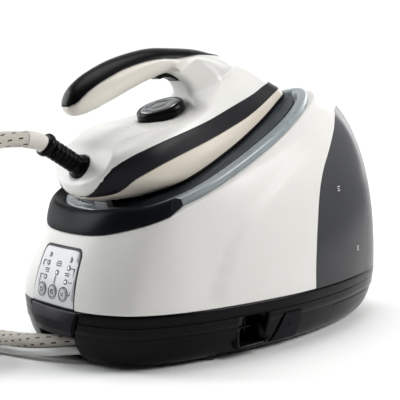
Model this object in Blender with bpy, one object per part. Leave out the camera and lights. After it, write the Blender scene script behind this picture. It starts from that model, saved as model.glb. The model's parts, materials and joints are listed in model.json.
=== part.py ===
"""Steam generator iron: a base station with a boiler and a removable water tank, and an iron
that rests on the station's slanted tray, joined to it by a steam hose.

The frame: +X runs from the control panel to the water tank, +Z is up, and the origin is on the
surface that the station stands on, under the middle of its length. The panel is at -X.

Lengths here are in millimetres and turn into Blender's metres where a mesh is made. Pieces of the
iron and of its tray are modelled in the slanted frame of the sole: s runs along the sole from the
heel to the tip, y across it, and n stands square on it.
"""
import math

import bmesh
import bpy
from mathutils import Vector

MM = 0.001
GAP = 0.3  # between pieces that touch

# Driving dimensions of the station.
SEAM_Z = 50.0  # height of the seam between the lower housing and the shell
WALL = 2.5
FOOT_HEIGHT = 3.0
DECK_N = -6.0  # the shell's slanted top, measured in the sole's frame

# The sole's frame: how far it slants, and where it starts.
TILT = math.radians(22.0)
SOLE_X = -60.0
SOLE_Z = 163.6

# Half of each outline, from the front centre to the rear centre, at matching points.
SEAM_OUTLINE = [(-193, 0), (-191, 34), (-181, 62), (-160, 85), (-117, 101.5), (-55, 109),
                (5, 110), (65, 102), (120, 87.5), (170, 65.5), (194, 35), (200, 0)]
DECK_OUTLINE = [(-125, 0), (-121, 36), (-106, 60), (-86, 78), (-54, 89), (-10, 92),
                (40, 83.5), (85, 71.5), (128, 56), (166, 38), (194, 19.5), (205, 0)]
TRAY_OUTLINE = [(-93, 0), (-92, 36), (-84, 57), (-66, 73), (-32, 82), (10, 80),
                (55, 73), (95, 64), (136, 50), (168, 33), (187, 16.5), (195, 0)]
SOLE_OUTLINE = [(-75, 0), (-72, 20), (-60, 41), (-27, 58), (32, 52), (93, 35), (147, 13), (170, 0)]

# Where the front leans back and where the rear stays upright, as powers of the height.
FRONT_LEAN = 1.65
REAR_ROUND = 2.2

# The tank's front edge, seen from the side: (x, z) from the seam up and back to the rear.
TANK_EDGE = [(29.5, 40), (30, 67), (33, 87), (38, 108), (48, 136), (62, 158), (84, 179),
             (104, 196), (120, 209), (140, 218), (215, 226)]

# Control panel and the cover under it.
PANEL_TOP = 101.0
PANEL_SHAPE = [(-32.0, 44.0), (32.0, 44.0), (28.5, 93.0), (22.0, PANEL_TOP), (-22.0, PANEL_TOP),
               (-28.5, 93.0)]  # (y, z), from below the seam
BUTTON_Y = (16.0, 0.0, -16.0)
BUTTON_Z = 62.5
BUTTON_RADIUS = 4.6

# The iron.
IRON_SECTIONS = [(5, 169, -76, 58), (12, 166, -95, 60), (20, 158, -104, 60), (30, 148, -106, 59),
                 (40, 139, -106, 57.5), (46, 132, -103, 55), (52, 124, -98, 50),
                 (57, 116, -92, 42), (60, 108, -87, 32), (63, 92, -76, 18)]
# Heights of the band's two edges along the sole, as (s, n).
BAND_LOW = [(-110, 30), (-50, 28), (0, 21.5), (40, 20), (80, 17.5), (110, 17), (170, 14.7)]
BAND_HIGH = [(-110, 41), (-60, 41), (-20, 38), (20, 36), (60, 36), (100, 34), (130, 30),
             (155, 25)]
DIAL_S = 11.5
DIAL_RADIUS = 23.0
DIAL_N = 47.5
DIAL_HEIGHT = 10.0
HEEL_RADIUS = 39.0  # the round white heel, seen along the sole
HEEL_N = 48.0
GUARD_START = (-91.0, 0.0, 41.8)
GUARD_ANGLE = math.radians(127.0)  # direction of the hose guard in the slanted frame, from +s
GUARD_LENGTH = 44.0

# Stations along the handle, from its free end over the top and down to the pillar's foot:
# the inner point (s, n), the outer point (s, n) and half the width.
HANDLE_STATIONS = [((-86.5, 93.5), (-85.5, 99.5), 5.0), ((-82.3, 87.0), (-79.5, 106.3), 10.5),
                   ((-73.0, 84.3), (-72.0, 110.8), 13.5), ((-60.0, 83.4), (-59.0, 114.4), 15.8),
                   ((-40.0, 83.9), (-42.6, 116.3), 17.0), ((-20.0, 84.6), (-24.0, 116.6), 17.0),
                   ((0.0, 85.0), (-1.5, 114.4), 17.0), ((15.0, 84.4), (20.5, 110.0), 17.0),
                   ((30.0, 83.0), (44.0, 101.3), 17.0), ((44.0, 80.5), (66.5, 91.8), 17.0),
                   ((54.0, 75.5), (85.0, 81.0), 17.5), ((59.0, 69.0), (98.0, 73.0), 18.0),
                   ((60.5, 60.4), (110.5, 60.4), 19.0)]
GRIP_DEPTH = 9.3  # how far the soft strip reaches down the handle's sides

# Cords.
HOSE_DIAMETER = 13.5
HOSE_COIL_CENTRE = (-386.0, 60.0)
HOSE_COIL_RADIUS = 68.0
HOSE_COIL_TURNS = 2.5
CABLE_DIAMETER = 7.0
CABLE_COIL_CENTRE = (-264.0, 70.0)
CABLE_COIL_RADIUS = 40.0
HOSE_FROM_IRON = [(-203, 0, 193), (-213, 0, 194.7), (-226, 0, 195.5), (-242, 0, 195),
                  (-262, -1, 190), (-288, -2, 173), (-311, -3, 141), (-327, -4, 105),
                  (-344, -7, 74), (-364, -8, 58), (-386, -8, 54.5)]
HOSE_TO_BASE = [(-338, 132, 7), (-300, 133, 7), (-262, 131.5, 7), (-230, 122, 7),
                (-207, 101, 7.2), (-197, 74, 8), (-194, 47, 10.5), (-190.5, 24, 13.5),
                (-182.5, 6, 14.8), (-171, -5.5, 14.8)]
CABLE_TO_BASE = [(-214.5, 63, 3.8), (-211, 52, 3.8), (-205.5, 36, 4.4), (-199.5, 18, 6.2),
                 (-192, 1, 8.6), (-181.5, -12, 10.3), (-170.5, -22.5, 10.9)]

COLOURS = {
    "white": ((0.86, 0.85, 0.83), 0.25, 0.0),
    "cream": ((0.80, 0.76, 0.70), 0.35, 0.0),
    "black": ((0.012, 0.012, 0.014), 0.22, 0.0),
    "soft_black": ((0.02, 0.02, 0.02), 0.65, 0.0),
    "anthracite": ((0.055, 0.06, 0.065), 0.35, 0.0),
    "smoke": ((0.10, 0.10, 0.11), 0.12, 0.0),
    "tray_grey": ((0.46, 0.50, 0.55), 0.4, 0.0),
    "grey": ((0.35, 0.35, 0.36), 0.45, 0.0),
    "steel": ((0.62, 0.62, 0.62), 0.3, 1.0),
    "aluminium": ((0.65, 0.65, 0.67), 0.4, 1.0),
    "brass": ((0.68, 0.50, 0.22), 0.35, 1.0),
    "board_green": ((0.04, 0.20, 0.09), 0.5, 0.0),
    "rubber": ((0.03, 0.03, 0.03), 0.8, 0.0),
    "hose": ((0.80, 0.78, 0.74), 0.8, 0.0),
}


# ---------------------------------------------------------------- shapes

def smooth_half(controls, per_span):
    """Catmull-Rom points through half an outline, whose ends lie on the line y = 0."""
    first, last = controls[1], controls[-2]
    padded = [(first[0], -first[1])] + list(controls) + [(last[0], -last[1])]
    points = []
    for index in range(1, len(padded) - 2):
        p0, p1, p2, p3 = (Vector(p) for p in padded[index - 1:index + 3])
        for step in range(per_span):
            t = step / per_span
            points.append(0.5 * (2 * p1 + (p2 - p0) * t
                                 + (2 * p0 - 5 * p1 + 4 * p2 - p3) * t * t
                                 + (3 * p1 - p0 - 3 * p2 + p3) * t ** 3))
    points.append(Vector(controls[-1]))
    return points


def closed_outline(controls, per_span=2, inset=0.0):
    """A whole outline from half of it, moved inwards by inset; it runs anticlockwise."""
    half = smooth_half(controls, per_span)
    loop = [Vector((p.x, -p.y)) for p in half] + [p.copy() for p in half[-2:0:-1]]
    if not inset:
        return loop
    moved = []
    for index, point in enumerate(loop):
        along = (loop[(index + 1) % len(loop)] - loop[index - 1]).normalized()
        moved.append(point + inset * Vector((-along.y, along.x)))
    return moved


def new_object(name, mesh_builder, colour, parent=None):
    """An object of the given name from a bmesh in millimetres, with its material."""
    mesh_builder.normal_update()
    bmesh.ops.recalc_face_normals(mesh_builder, faces=mesh_builder.faces)
    bmesh.ops.scale(mesh_builder, vec=(MM, MM, MM), verts=mesh_builder.verts)
    mesh = bpy.data.meshes.new(name)
    mesh_builder.to_mesh(mesh)
    mesh_builder.free()
    mesh.shade_smooth()
    mesh.set_sharp_from_angle(angle=math.radians(35))
    thing = bpy.data.objects.new(name, mesh)
    bpy.context.scene.collection.objects.link(thing)
    if colour:
        mesh.materials.append(material(colour))
    else:
        thing.hide_render = True
        thing.display_type = "WIRE"
    thing.parent = parent
    return thing


def material(name):
    found = bpy.data.materials.get(name)
    if found:
        return found
    made = bpy.data.materials.new(name)
    made.use_nodes = True
    colour, roughness, metallic = COLOURS[name]
    shader = made.node_tree.nodes["Principled BSDF"]
    shader.inputs["Base Color"].default_value = (*colour, 1)
    shader.inputs["Roughness"].default_value = roughness
    shader.inputs["Metallic"].default_value = metallic
    return made


def loft(name, rings, colour=None, parent=None):
    """A closed solid through rings of equally many points, with both ends capped."""
    builder = bmesh.new()
    rows = [[builder.verts.new(point) for point in ring] for ring in rings]
    for low, high in zip(rows, rows[1:]):
        for index in range(len(low)):
            after = (index + 1) % len(low)
            builder.faces.new((low[index], low[after], high[after], high[index]))
    builder.faces.new(rows[0][::-1])
    builder.faces.new(rows[-1])
    return new_object(name, builder, colour, parent)


def flat_ring(outline, height):
    return [(p[0], p[1], height) for p in outline]


def plate(name, outline, low, high, colour=None, parent=None):
    """An outline raised from one height to another."""
    return loft(name, [flat_ring(outline, low), flat_ring(outline, high)], colour, parent)


def side_prism(name, profile, half_width, parent=None, colour=None, centre_y=0.0):
    """A profile in the x-z plane (or s-n plane), extruded to both sides of y = centre_y."""
    rings = [[(x, centre_y + side * half_width, z) for x, z in profile] for side in (-1, 1)]
    return loft(name, rings, colour, parent)


def front_prism(name, outline, low_x, high_x, parent=None, colour=None):
    """An outline in the y-z plane, extruded along x."""
    rings = [[(x, y, z) for y, z in outline] for x in (low_x, high_x)]
    return loft(name, rings, colour, parent)


def box(name, low, high, colour=None, parent=None):
    corners = [(low[0], low[1]), (high[0], low[1]), (high[0], high[1]), (low[0], high[1])]
    return plate(name, corners, low[2], high[2], colour, parent)


def turned(name, profile, centre, axis, colour=None, parent=None, sides=24):
    """A solid turned about an axis: profile is (radius, distance along the axis) pairs."""
    turn = Vector((0, 0, 1)).rotation_difference(Vector(axis)).to_matrix()
    rings = []
    for radius, along in profile:
        ring = []
        for index in range(sides):
            angle = 2 * math.pi * index / sides
            local = Vector((radius * math.cos(angle), radius * math.sin(angle), along))
            ring.append(Vector(centre) + turn @ local)
        rings.append(ring)
    return loft(name, rings, colour, parent)


def hollow_turned(name, profile, centre, colour=None, parent=None, sides=32):
    """A ring turned about a vertical axis: profile is its closed section, (radius, z) pairs."""
    builder = bmesh.new()
    rows = []
    for index in range(sides):
        angle = 2 * math.pi * index / sides
        rows.append([builder.verts.new((centre[0] + r * math.cos(angle),
                                        centre[1] + r * math.sin(angle), z))
                     for r, z in profile])
    for index, row in enumerate(rows):
        beside = rows[(index + 1) % sides]
        for k in range(len(row)):
            after = (k + 1) % len(row)
            builder.faces.new((row[k], row[after], beside[after], beside[k]))
    return new_object(name, builder, colour, parent)


def cylinder(name, radius, start, end, colour=None, parent=None, sides=24):
    start, end = Vector(start), Vector(end)
    length = (end - start).length
    return turned(name, [(radius, 0), (radius, length)], start, end - start, colour, parent, sides)


def combine(thing, other, operation):
    """Apply a Boolean with another object, which is removed from the scene afterwards."""
    modifier = thing.modifiers.new(operation.lower(), "BOOLEAN")
    modifier.operation = operation
    modifier.solver = "EXACT"
    modifier.object = other
    bpy.context.view_layer.update()
    evaluated = thing.evaluated_get(bpy.context.evaluated_depsgraph_get())
    mesh = bpy.data.meshes.new_from_object(evaluated)
    thing.modifiers.clear()
    old = thing.data
    thing.data = mesh
    bpy.data.meshes.remove(old)
    bpy.data.objects.remove(other)
    return thing


def cut(thing, *cutters):
    for cutter in cutters:
        combine(thing, cutter, "DIFFERENCE")
    return thing


def join(thing, *others):
    for other in others:
        combine(thing, other, "UNION")
    return thing


def tube(name, route, diameter, colour, sides=2):
    """A cord's uncoiled stretch: a smooth curve through its route with capped ends."""
    points = smooth_route(route, diameter * 2.5)
    curve = bpy.data.curves.new(name, "CURVE")
    curve.dimensions = "3D"
    curve.bevel_depth = diameter / 2 * MM
    curve.bevel_resolution = sides
    curve.use_fill_caps = True
    spline = curve.splines.new("POLY")
    spline.points.add(len(points) - 1)
    for slot, point in zip(spline.points, points):
        slot.co = (*(Vector(point) * MM), 1)
    curve.materials.append(material(colour))
    thing = bpy.data.objects.new(name, curve)
    bpy.context.scene.collection.objects.link(thing)
    return thing


def smooth_route(route, spacing):
    """Points about spacing apart on a Catmull-Rom curve through the route."""
    route = [Vector(p) for p in route]
    padded = [2 * route[0] - route[1]] + route + [2 * route[-1] - route[-2]]
    points = []
    for index in range(1, len(padded) - 2):
        p0, p1, p2, p3 = padded[index - 1:index + 3]
        steps = max(1, round((p2 - p1).length / spacing))
        for step in range(steps):
            t = step / steps
            points.append(0.5 * (2 * p1 + (p2 - p0) * t
                                 + (2 * p0 - 5 * p1 + 4 * p2 - p3) * t * t
                                 + (3 * p1 - p0 - 3 * p2 + p3) * t ** 3))
    return points + [route[-1]]


def slanted(s, n):
    """World x and z of a point of the slanted frame."""
    return (SOLE_X + s * math.cos(TILT) - n * math.sin(TILT),
            SOLE_Z + s * math.sin(TILT) + n * math.cos(TILT))


# ---------------------------------------------------------------- the station's casing

def envelope_rings(inset, low_z, deck_n, heights):
    """Rings of the station's outside from the seam up to the slanted deck, moved inwards."""
    base = closed_outline(SEAM_OUTLINE, inset=inset)
    deck = closed_outline(DECK_OUTLINE, inset=inset)
    count = len(base)
    rings = []
    for height in heights:
        ring = []
        for index, (low, top) in enumerate(zip(base, deck)):
            x_top, z_top = slanted(top.x, deck_n)
            backness = min(index, count - index) / (count / 2)
            rear = min(1.0, max(0.0, (backness - 0.36) / 0.45))
            lean = ((1 - rear) * height ** FRONT_LEAN
                    + rear * (1 - (1 - height ** REAR_ROUND) ** (1 / REAR_ROUND)))
            ring.append((low.x + lean * (x_top - low.x), low.y + lean * (top.y - low.y),
                         low_z + height * (z_top - low_z)))
        rings.append(ring)
    return rings


WALL_HEIGHTS = (0.0, 0.2, 0.4, 0.55, 0.68, 0.79, 0.88, 0.94, 0.98, 1.0)


def outer_envelope(name, colour=None):
    return loft(name, envelope_rings(0, SEAM_Z + GAP, DECK_N, WALL_HEIGHTS), colour)


def inner_envelope(name, inset=WALL):
    rings = envelope_rings(inset, SEAM_Z + GAP, DECK_N - inset, WALL_HEIGHTS)
    floor = [(x, y, SEAM_Z - 8) for x, y, z in rings[0]]
    return loft(name, [floor] + rings)


def tank_profile(offset):
    """The tank's side profile, its front edge moved back and down by offset."""
    edge = smooth_route([(x, 0, z) for x, z in TANK_EDGE], 12.0)
    moved = []
    for index, point in enumerate(edge):
        before = edge[max(index - 1, 0)]
        after = edge[min(index + 1, len(edge) - 1)]
        along = (after - before).normalized()
        moved.append((point.x + offset * along.z, point.z - offset * along.x))
    return moved + [(260, moved[-1][1]), (260, moved[0][1])]


def make_body_shell():
    shell = outer_envelope("body_shell", "white")
    cut(shell, inner_envelope("shell_inside"))
    tray_hole = plate("tray_hole", closed_outline(TRAY_OUTLINE, inset=6.0), -30, 30,
                      parent=IRON_FRAME)
    cut(shell, tray_hole, side_prism("tank_space", tank_profile(0), 140))
    opening = [(y + math.copysign(0.4, y), z + (0.4 if z > SEAM_Z else 0)) for y, z in PANEL_SHAPE]
    return cut(shell, front_prism("panel_space", opening, -215, -150))


def lower_ring(inset, z, extra):
    return flat_ring(closed_outline(SEAM_OUTLINE, inset=inset + extra), z)


def make_lower_housing():
    """The tub: (inset, z) rings from the bottom up; it narrows towards the table."""
    rings = ((17, 3), (11, 10), (6, 20), (2, 34), (0, SEAM_Z))
    tub = loft("lower_housing", [lower_ring(inset, z, 0) for inset, z in rings], "black")
    inside = [lower_ring(inset, z, WALL) for inset, z in ((17, 6), (11, 12), (6, 21), (2, 34))]
    inside += [lower_ring(0, SEAM_Z, WALL), lower_ring(0, SEAM_Z + 8, WALL)]
    cut(tub, loft("tub_inside", inside))
    notch = [(-36, 58), (-36, 46), (-28, 27), (-26, 5), (26, 5), (28, 27), (36, 46), (36, 58)]
    cut(tub, loft("front_notch", [[(x, y, z) for y, z in notch] for x in (-215, -174)]))
    pocket_low, pocket_high = (-66, -125, 11), (-34, -78, 39)
    lining = box("pocket_lining", (pocket_low[0] - 2, -102, pocket_low[2] - 2),
                 (pocket_high[0] + 2, pocket_high[1] + 2, pocket_high[2] + 2))
    cut(join(tub, lining), box("hose_pocket", pocket_low, pocket_high))
    cut(tub, box("valve_way", (185, -9, 46), (215, 9, 58)))
    return tub


def make_front_saddle():
    """The black rest in front of the tray, which stops the heel: a swept section."""
    span = 7  # points from the middle to each end
    deck = closed_outline(DECK_OUTLINE)
    tray = closed_outline(TRAY_OUTLINE, inset=-0.6)
    crest = (8.0, 8.5, 9.5, 11.0, 12.0, 11.5, 8.0, 3.0)
    rings = []
    for step in range(-span, span + 1):
        outer, inner, height = deck[step], tray[step], crest[abs(step)]
        slope = outer.lerp(inner, 0.52)
        ledge = outer.lerp(inner, 0.66)
        rings.append([(outer.x, outer.y, DECK_N + GAP), (slope.x, slope.y, height),
                      (ledge.x, ledge.y, height), (inner.x, inner.y, 1.0),
                      (inner.x, inner.y, DECK_N + GAP)])
    return loft("front_saddle", rings, "black", IRON_FRAME)


def make_rest_tray():
    """The grey tray with its raised rim and a sunk middle."""
    rings = ((6.4, -13.0), (6.4, DECK_N + GAP), (0.0, DECK_N + GAP), (0.0, 0.2), (0.8, 1.2),
             (10.5, 1.2), (12.5, -4.0))
    return loft("rest_tray", [flat_ring(closed_outline(TRAY_OUTLINE, inset=inset), n)
                              for inset, n in rings], "tray_grey", IRON_FRAME)


def make_rest_mat():
    return plate("rest_mat", closed_outline(TRAY_OUTLINE, inset=14.0), -4.0 + GAP, -GAP,
                 "rubber", IRON_FRAME)


def panel_point(y, z):
    """x on the front of the station at a height above the seam, near its middle."""
    height = (z - SEAM_Z - GAP) / (slanted(DECK_OUTLINE[0][0], DECK_N)[1] - SEAM_Z - GAP)
    return -193.0 + height ** FRONT_LEAN * (slanted(DECK_OUTLINE[0][0], DECK_N)[0] + 193.0)


def make_control_panel():
    panel = outer_envelope("control_panel", "grey")
    cut(panel, inner_envelope("panel_inside", WALL))
    combine(panel, front_prism("panel_window", PANEL_SHAPE, -215, -160), "INTERSECT")
    for y in BUTTON_Y:
        cut(panel, cylinder("button_hole", BUTTON_RADIUS + 0.4, (-215, y, BUTTON_Z),
                            (-165, y, BUTTON_Z), sides=20))
    return panel


def make_buttons():
    """Three round buttons that stand 1.3 mm proud of the panel."""
    face = panel_point(0, BUTTON_Z)
    for name, y in zip(("button_eco", "button_power", "button_descale"), BUTTON_Y):
        turned(name, [(BUTTON_RADIUS + 1.2, 0), (BUTTON_RADIUS + 1.2, 1.0), (BUTTON_RADIUS, 1.0),
                      (BUTTON_RADIUS, 6.6), (BUTTON_RADIUS - 0.6, 7.2)],
               (face + 5.9, y, BUTTON_Z), (-1, 0, 0), "white", sides=20)


def make_indicator_board():
    """The printed board behind the panel, with its lamps and push switches."""
    face = panel_point(0, BUTTON_Z)
    board = box("indicator_board", (face + 9.2, -30, 54), (face + 10.8, 30, 76), "board_green")
    for y in BUTTON_Y:
        join(board, box("switch", (face + 7.3, y - 3, BUTTON_Z - 3),
                        (face + 10.0, y + 3, BUTTON_Z + 3)))
    return board


def make_descaling_cover():
    """The faceted flap under the panel: rings of half width, x of the front face, height."""
    facets = ((15, -191.5, 24), (23, -197.5, 31), (30, -199.5, 40), (34, -195, 49.2))
    rings = [[(front, -half, z), (front, half, z), (-187.0, half, z), (-187.0, -half, z)]
             for half, front, z in facets]
    return loft("descaling_cover", rings, "anthracite")


def make_feet():
    places = {"front_left": (-84, 80), "front_right": (-84, -80),
              "rear_left": (150, 42), "rear_right": (150, -42)}
    for name, (x, y) in places.items():
        cylinder("foot_" + name, 8.0, (x, y, 0), (x, y, FOOT_HEIGHT - GAP), "rubber", sides=16)


def make_hose_clip():
    """The clip beside the pocket that keeps the stowed hose in it."""
    levels = ((10, -21, 9, 99.9), (20, -18, 9, 104.9), (34, -13, 8, 108.9))
    rings = [[(low, -wall - 1.5, z), (high, -wall - 1.5, z), (high, -wall, z), (low, -wall, z)]
             for z, low, high, wall in levels]
    return loft("hose_clip", rings, "anthracite")


# ---------------------------------------------------------------- inside the station

def make_boiler():
    """The pressed steel boiler with its drain neck, which points at the cover."""
    profile = [(8.0, 0), (8.0, 12), (14, 13), (26, 16), (30, 22), (30, 112), (26, 118), (12, 121)]
    turned("boiler", profile, (-176 + 8, 0, 40), (1, 0, 0), "steel", sides=28)
    turned("boiler_heater", [(24, 0), (24, 9), (16, 9.5), (16, 14)],
           (-168 + 121.4, 0, 40), (1, 0, 0), "aluminium", sides=24)
    cylinder("boiler_thermostat", 8, (-95, 0, 70.6), (-95, 0, 79), "aluminium", sides=16)
    cylinder("safety_valve", 6, (-120, 0, 70.6), (-120, 0, 84), "brass", sides=16)


def make_boiler_cap():
    """The drain cap, turned by its wing, in front of the boiler's neck."""
    cap = cylinder("boiler_cap", 11.5, (-168.4, 0, 40), (-177, 0, 40), "grey", sides=20)
    wing = box("wing", (-184.5, -2.5, 31), (-176.5, 2.5, 49))
    return join(cap, wing)


def make_water_path():
    pump = cylinder("pump", 17, (-18, 46, 26), (52, 46, 26), "grey", sides=20)
    join(pump, cylinder("pump_outlet", 4, (-34, 46, 26), (-17, 46, 26), sides=12))
    valve = box("steam_valve", (-30, -22, 62), (-2, 2, 88), "brass")
    join(valve, cylinder("coil", 9, (-16, -10, 87), (-16, -10, 108), sides=16))
    seat = cylinder("tank_valve_seat", 12, (92, 0, 14), (92, 0, 46), "black", sides=20)
    cut(seat, cylinder("seat_bore", 9, (92, 0, 20), (92, 0, 50), sides=20))
    box("control_board", (-20, 80, 12), (70, 81.6, 46), "board_green")


# ---------------------------------------------------------------- the water tank

FLAP_LOW, FLAP_HIGH, FLAP_HALF_WIDTH = 168.0, 204.0, 24.0


def make_water_tank():
    tank = outer_envelope("water_tank", "smoke")
    combine(tank, side_prism("tank_block", tank_profile(0.4), 140), "INTERSECT")
    room = inner_envelope("tank_room", WALL)
    combine(room, side_prism("room_block", tank_profile(0.4 + WALL), 140), "INTERSECT")
    room = cut(room, box("room_floor", (0, -140, 0), (260, 140, SEAM_Z + GAP + WALL)))
    cut(tank, room)
    cut(tank, box("fill_mouth", (120, -FLAP_HALF_WIDTH - GAP, FLAP_LOW - GAP),
                  (230, FLAP_HALF_WIDTH + GAP, FLAP_HIGH + GAP)))
    return tank


def make_fill_flap():
    """The lid of the fill opening, which follows the tank's rounded back."""
    flap = outer_envelope("fill_flap", "anthracite")
    cut(flap, inner_envelope("flap_inside", WALL))
    window = box("flap_window", (130, -FLAP_HALF_WIDTH, FLAP_LOW),
                 (230, FLAP_HALF_WIDTH, FLAP_HIGH))
    return combine(flap, window, "INTERSECT")


def make_tank_valve():
    """The sprung valve under the tank, which dips into the station's seat."""
    return cylinder("tank_valve", 7.5, (92, 0, 46 + 2 * GAP), (92, 0, SEAM_Z), "black", sides=16)


# ---------------------------------------------------------------- the iron

def between(pairs, at):
    """The value at a place on a line through (place, values...) rows, held beyond its ends."""
    if at <= pairs[0][0]:
        return pairs[0][1:]
    for low, high in zip(pairs, pairs[1:]):
        if at <= high[0]:
            share = (at - low[0]) / (high[0] - low[0])
            return tuple(a + share * (b - a) for a, b in zip(low[1:], high[1:]))
    return pairs[-1][1:]


def iron_outline(front, rear, half_width, inset=0.0):
    """The sole's outline stretched between two ends to a half width."""
    low, high = SOLE_OUTLINE[0][0], SOLE_OUTLINE[-1][0]
    widest = max(w for _, w in SOLE_OUTLINE)
    stretched = [(rear + (s - low) / (high - low) * (front - rear), w / widest * half_width)
                 for s, w in SOLE_OUTLINE]
    return closed_outline(stretched, per_span=3, inset=inset)


def iron_rings(sections, inset=0.0):
    """Rings from (n, front, rear, half width) sections."""
    return [flat_ring(iron_outline(front, rear, half, inset), n)
            for n, front, rear, half in sections]


def seam_ring(seam, offset=0.0, wall=0.0):
    """A ring on the iron's outside, or a wall inside it, whose height follows a seam."""
    ring = []
    for index in range(2 * 3 * (len(SOLE_OUTLINE) - 1)):
        n = seam[len(seam) // 2][1]
        for _ in range(5):
            front, rear, half = between(IRON_SECTIONS, n)
            s = iron_outline(front, rear, half)[index].x
            n = between(seam, s)[0] + offset
        place = iron_outline(front - 1.4 * wall, rear + 1.3 * wall, half - wall)[index]
        ring.append((place.x, place.y, n))
    return ring


def hollow_loft(name, rings, colour):
    """A ring-shaped solid through closed rows of points; the last row joins the first."""
    builder = bmesh.new()
    rows = [[builder.verts.new(point) for point in ring] for ring in rings]
    for low, high in zip(rows, rows[1:] + rows[:1]):
        for index in range(len(low)):
            after = (index + 1) % len(low)
            builder.faces.new((low[index], low[after], high[after], high[index]))
    return new_object(name, builder, colour, IRON_FRAME)


def make_soleplate():
    loft("soleplate", iron_rings([(0, 170, -75, 58), (4.0, 170.5, -76, 58.5),
                                  (5.0, 169.5, -75, 57.5)]), "steel", IRON_FRAME)


def make_steam_chamber():
    """The cast heater block with its steam paths, on the sole and inside the skirt."""
    loft("steam_chamber", iron_rings([(5.0 + GAP, 145, -60, 44), (14.5, 142, -58, 42)]),
         "aluminium", IRON_FRAME)


def heel_cylinder(name, radius):
    """A bar along the sole that shapes the round heel, behind the middle of the iron."""
    return cylinder(name, radius, (-140, 0, HEEL_N), (-62, 0, HEEL_N), parent=IRON_FRAME, sides=40)


def make_heat_shield():
    """The cream skirt around the heater: a ring open inside."""
    rings = iron_rings([(5.0 + GAP, *IRON_SECTIONS[0][1:]), IRON_SECTIONS[1]])
    rings += [seam_ring(BAND_LOW), seam_ring(BAND_LOW, wall=8)]
    rings += iron_rings([(12, 155, -85, 52), (5.0 + GAP, 157, -68, 50)])
    skirt = hollow_loft("heat_shield", rings, "cream")
    return cut(skirt, heel_cylinder("heel_space", HEEL_RADIUS + GAP))


def make_trim_band():
    rings = [seam_ring(BAND_LOW, GAP), seam_ring(BAND_HIGH), seam_ring(BAND_HIGH, wall=9),
             seam_ring(BAND_LOW, GAP, wall=9)]
    band = hollow_loft("trim_band", rings, "anthracite")
    return cut(band, heel_cylinder("heel_space", HEEL_RADIUS + GAP))


def make_upper_body():
    """The white casing above the band, with the round heel and a seat for the dial."""
    rings = [seam_ring(BAND_HIGH, GAP, wall=13), seam_ring(BAND_HIGH, GAP)]
    body = loft("upper_body", rings + iron_rings(IRON_SECTIONS[5:]), "white", IRON_FRAME)
    hollow = loft("body_hollow", iron_rings([(20, 132, -88, 50), (41, 122, -88, 46)]),
                  parent=IRON_FRAME)
    above = side_prism("above_body", [(-130, 13.5), (-101, 36), (-83, 50), (-72, 55.5),
                                      (-60, 57.5), (-40, 56.5), (-21, 52.5), (10, 46.7),
                                      (38, 44), (47, 46.5), (55, 53), (58.5, 60.1),
                                      (130, 60.1), (130, 90), (-130, 90)], 70, IRON_FRAME)
    heel = loft("heel", iron_rings([(7, 164, -85, 57.5)] + IRON_SECTIONS[1:5] +
                                   [(43, *IRON_SECTIONS[4][1:])]), parent=IRON_FRAME)
    combine(heel, heel_cylinder("heel_bar", HEEL_RADIUS), "INTERSECT")
    cut(heel, loft("heel_inside", iron_rings([(0, 140, -78, 47), (37.5, 132, -86, 47)]),
                   parent=IRON_FRAME))
    cut(body, hollow)
    cut(join(body, heel), above)
    seat = cylinder("dial_seat", DIAL_RADIUS + 1.0, (DIAL_S, 0, DIAL_N - 1), (DIAL_S, 0, 70),
                    parent=IRON_FRAME, sides=36)
    shaft_hole = cylinder("shaft_hole", 3.6, (DIAL_S, 0, 30), (DIAL_S, 0, 70),
                          parent=IRON_FRAME, sides=16)
    guard_hole = cylinder("guard_hole", 12.0, guard_point(-GAP), guard_point(40),
                          parent=IRON_FRAME, sides=24)
    return cut(body, seat, shaft_hole, guard_hole)


def handle_ring(station, top):
    """One oval section of the handle: its soft top strip, or the shell that holds it."""
    inner, outer, half_width = Vector(station[0]), Vector(station[1]), station[2]
    middle, up = (inner + outer) / 2, (outer - inner) / 2
    split = max(0.15, 1 - GRIP_DEPTH / up.length)
    split += (0.5 if top else -0.5) * GAP / up.length
    edge = math.asin(split)
    if top:
        angles = [edge + (math.pi - 2 * edge) * k / 8 for k in range(9)]
    else:
        angles = [math.pi - edge + (math.pi + 2 * edge) * k / 14 for k in range(15)]
    ring = []
    for angle in angles:
        place = middle + up * math.sin(angle)
        ring.append((place.x, half_width * math.cos(angle), place.y))
    return ring


def make_handle():
    """The cream handle: a pillar over the nose and an arm that reaches back over the dial."""
    handle = loft("handle_shell", [handle_ring(station, False) for station in HANDLE_STATIONS],
                  "cream", IRON_FRAME)
    room = side_prism("trigger_room", [(12, 78), (12, 91), (22, 97), (40, 93), (56, 82),
                                       (63, 69), (61, 64.5), (50, 58), (30, 70)], 7.4, IRON_FRAME)
    return cut(handle, room)


def make_handle_grip():
    """The soft black strip along the top of the handle."""
    return loft("handle_grip", [handle_ring(station, True) for station in HANDLE_STATIONS],
                "soft_black", IRON_FRAME)


def make_steam_trigger():
    """The trigger under the handle; its pivot is at its rear end."""
    profile = [(14, 89), (13.5, 85.5), (17, 81.5), (31, 80), (43, 75.5), (51.5, 68.5), (54.5, 63.5),
               (57, 65), (54.5, 73), (44, 80.5), (30, 86)]
    return side_prism("steam_trigger", profile, 6.8, IRON_FRAME, "soft_black")


def make_trigger_switch():
    """The micro switch above the trigger's middle."""
    return box("trigger_switch", (24, -5, 89), (36, 5, 93), "black", IRON_FRAME)


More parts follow.
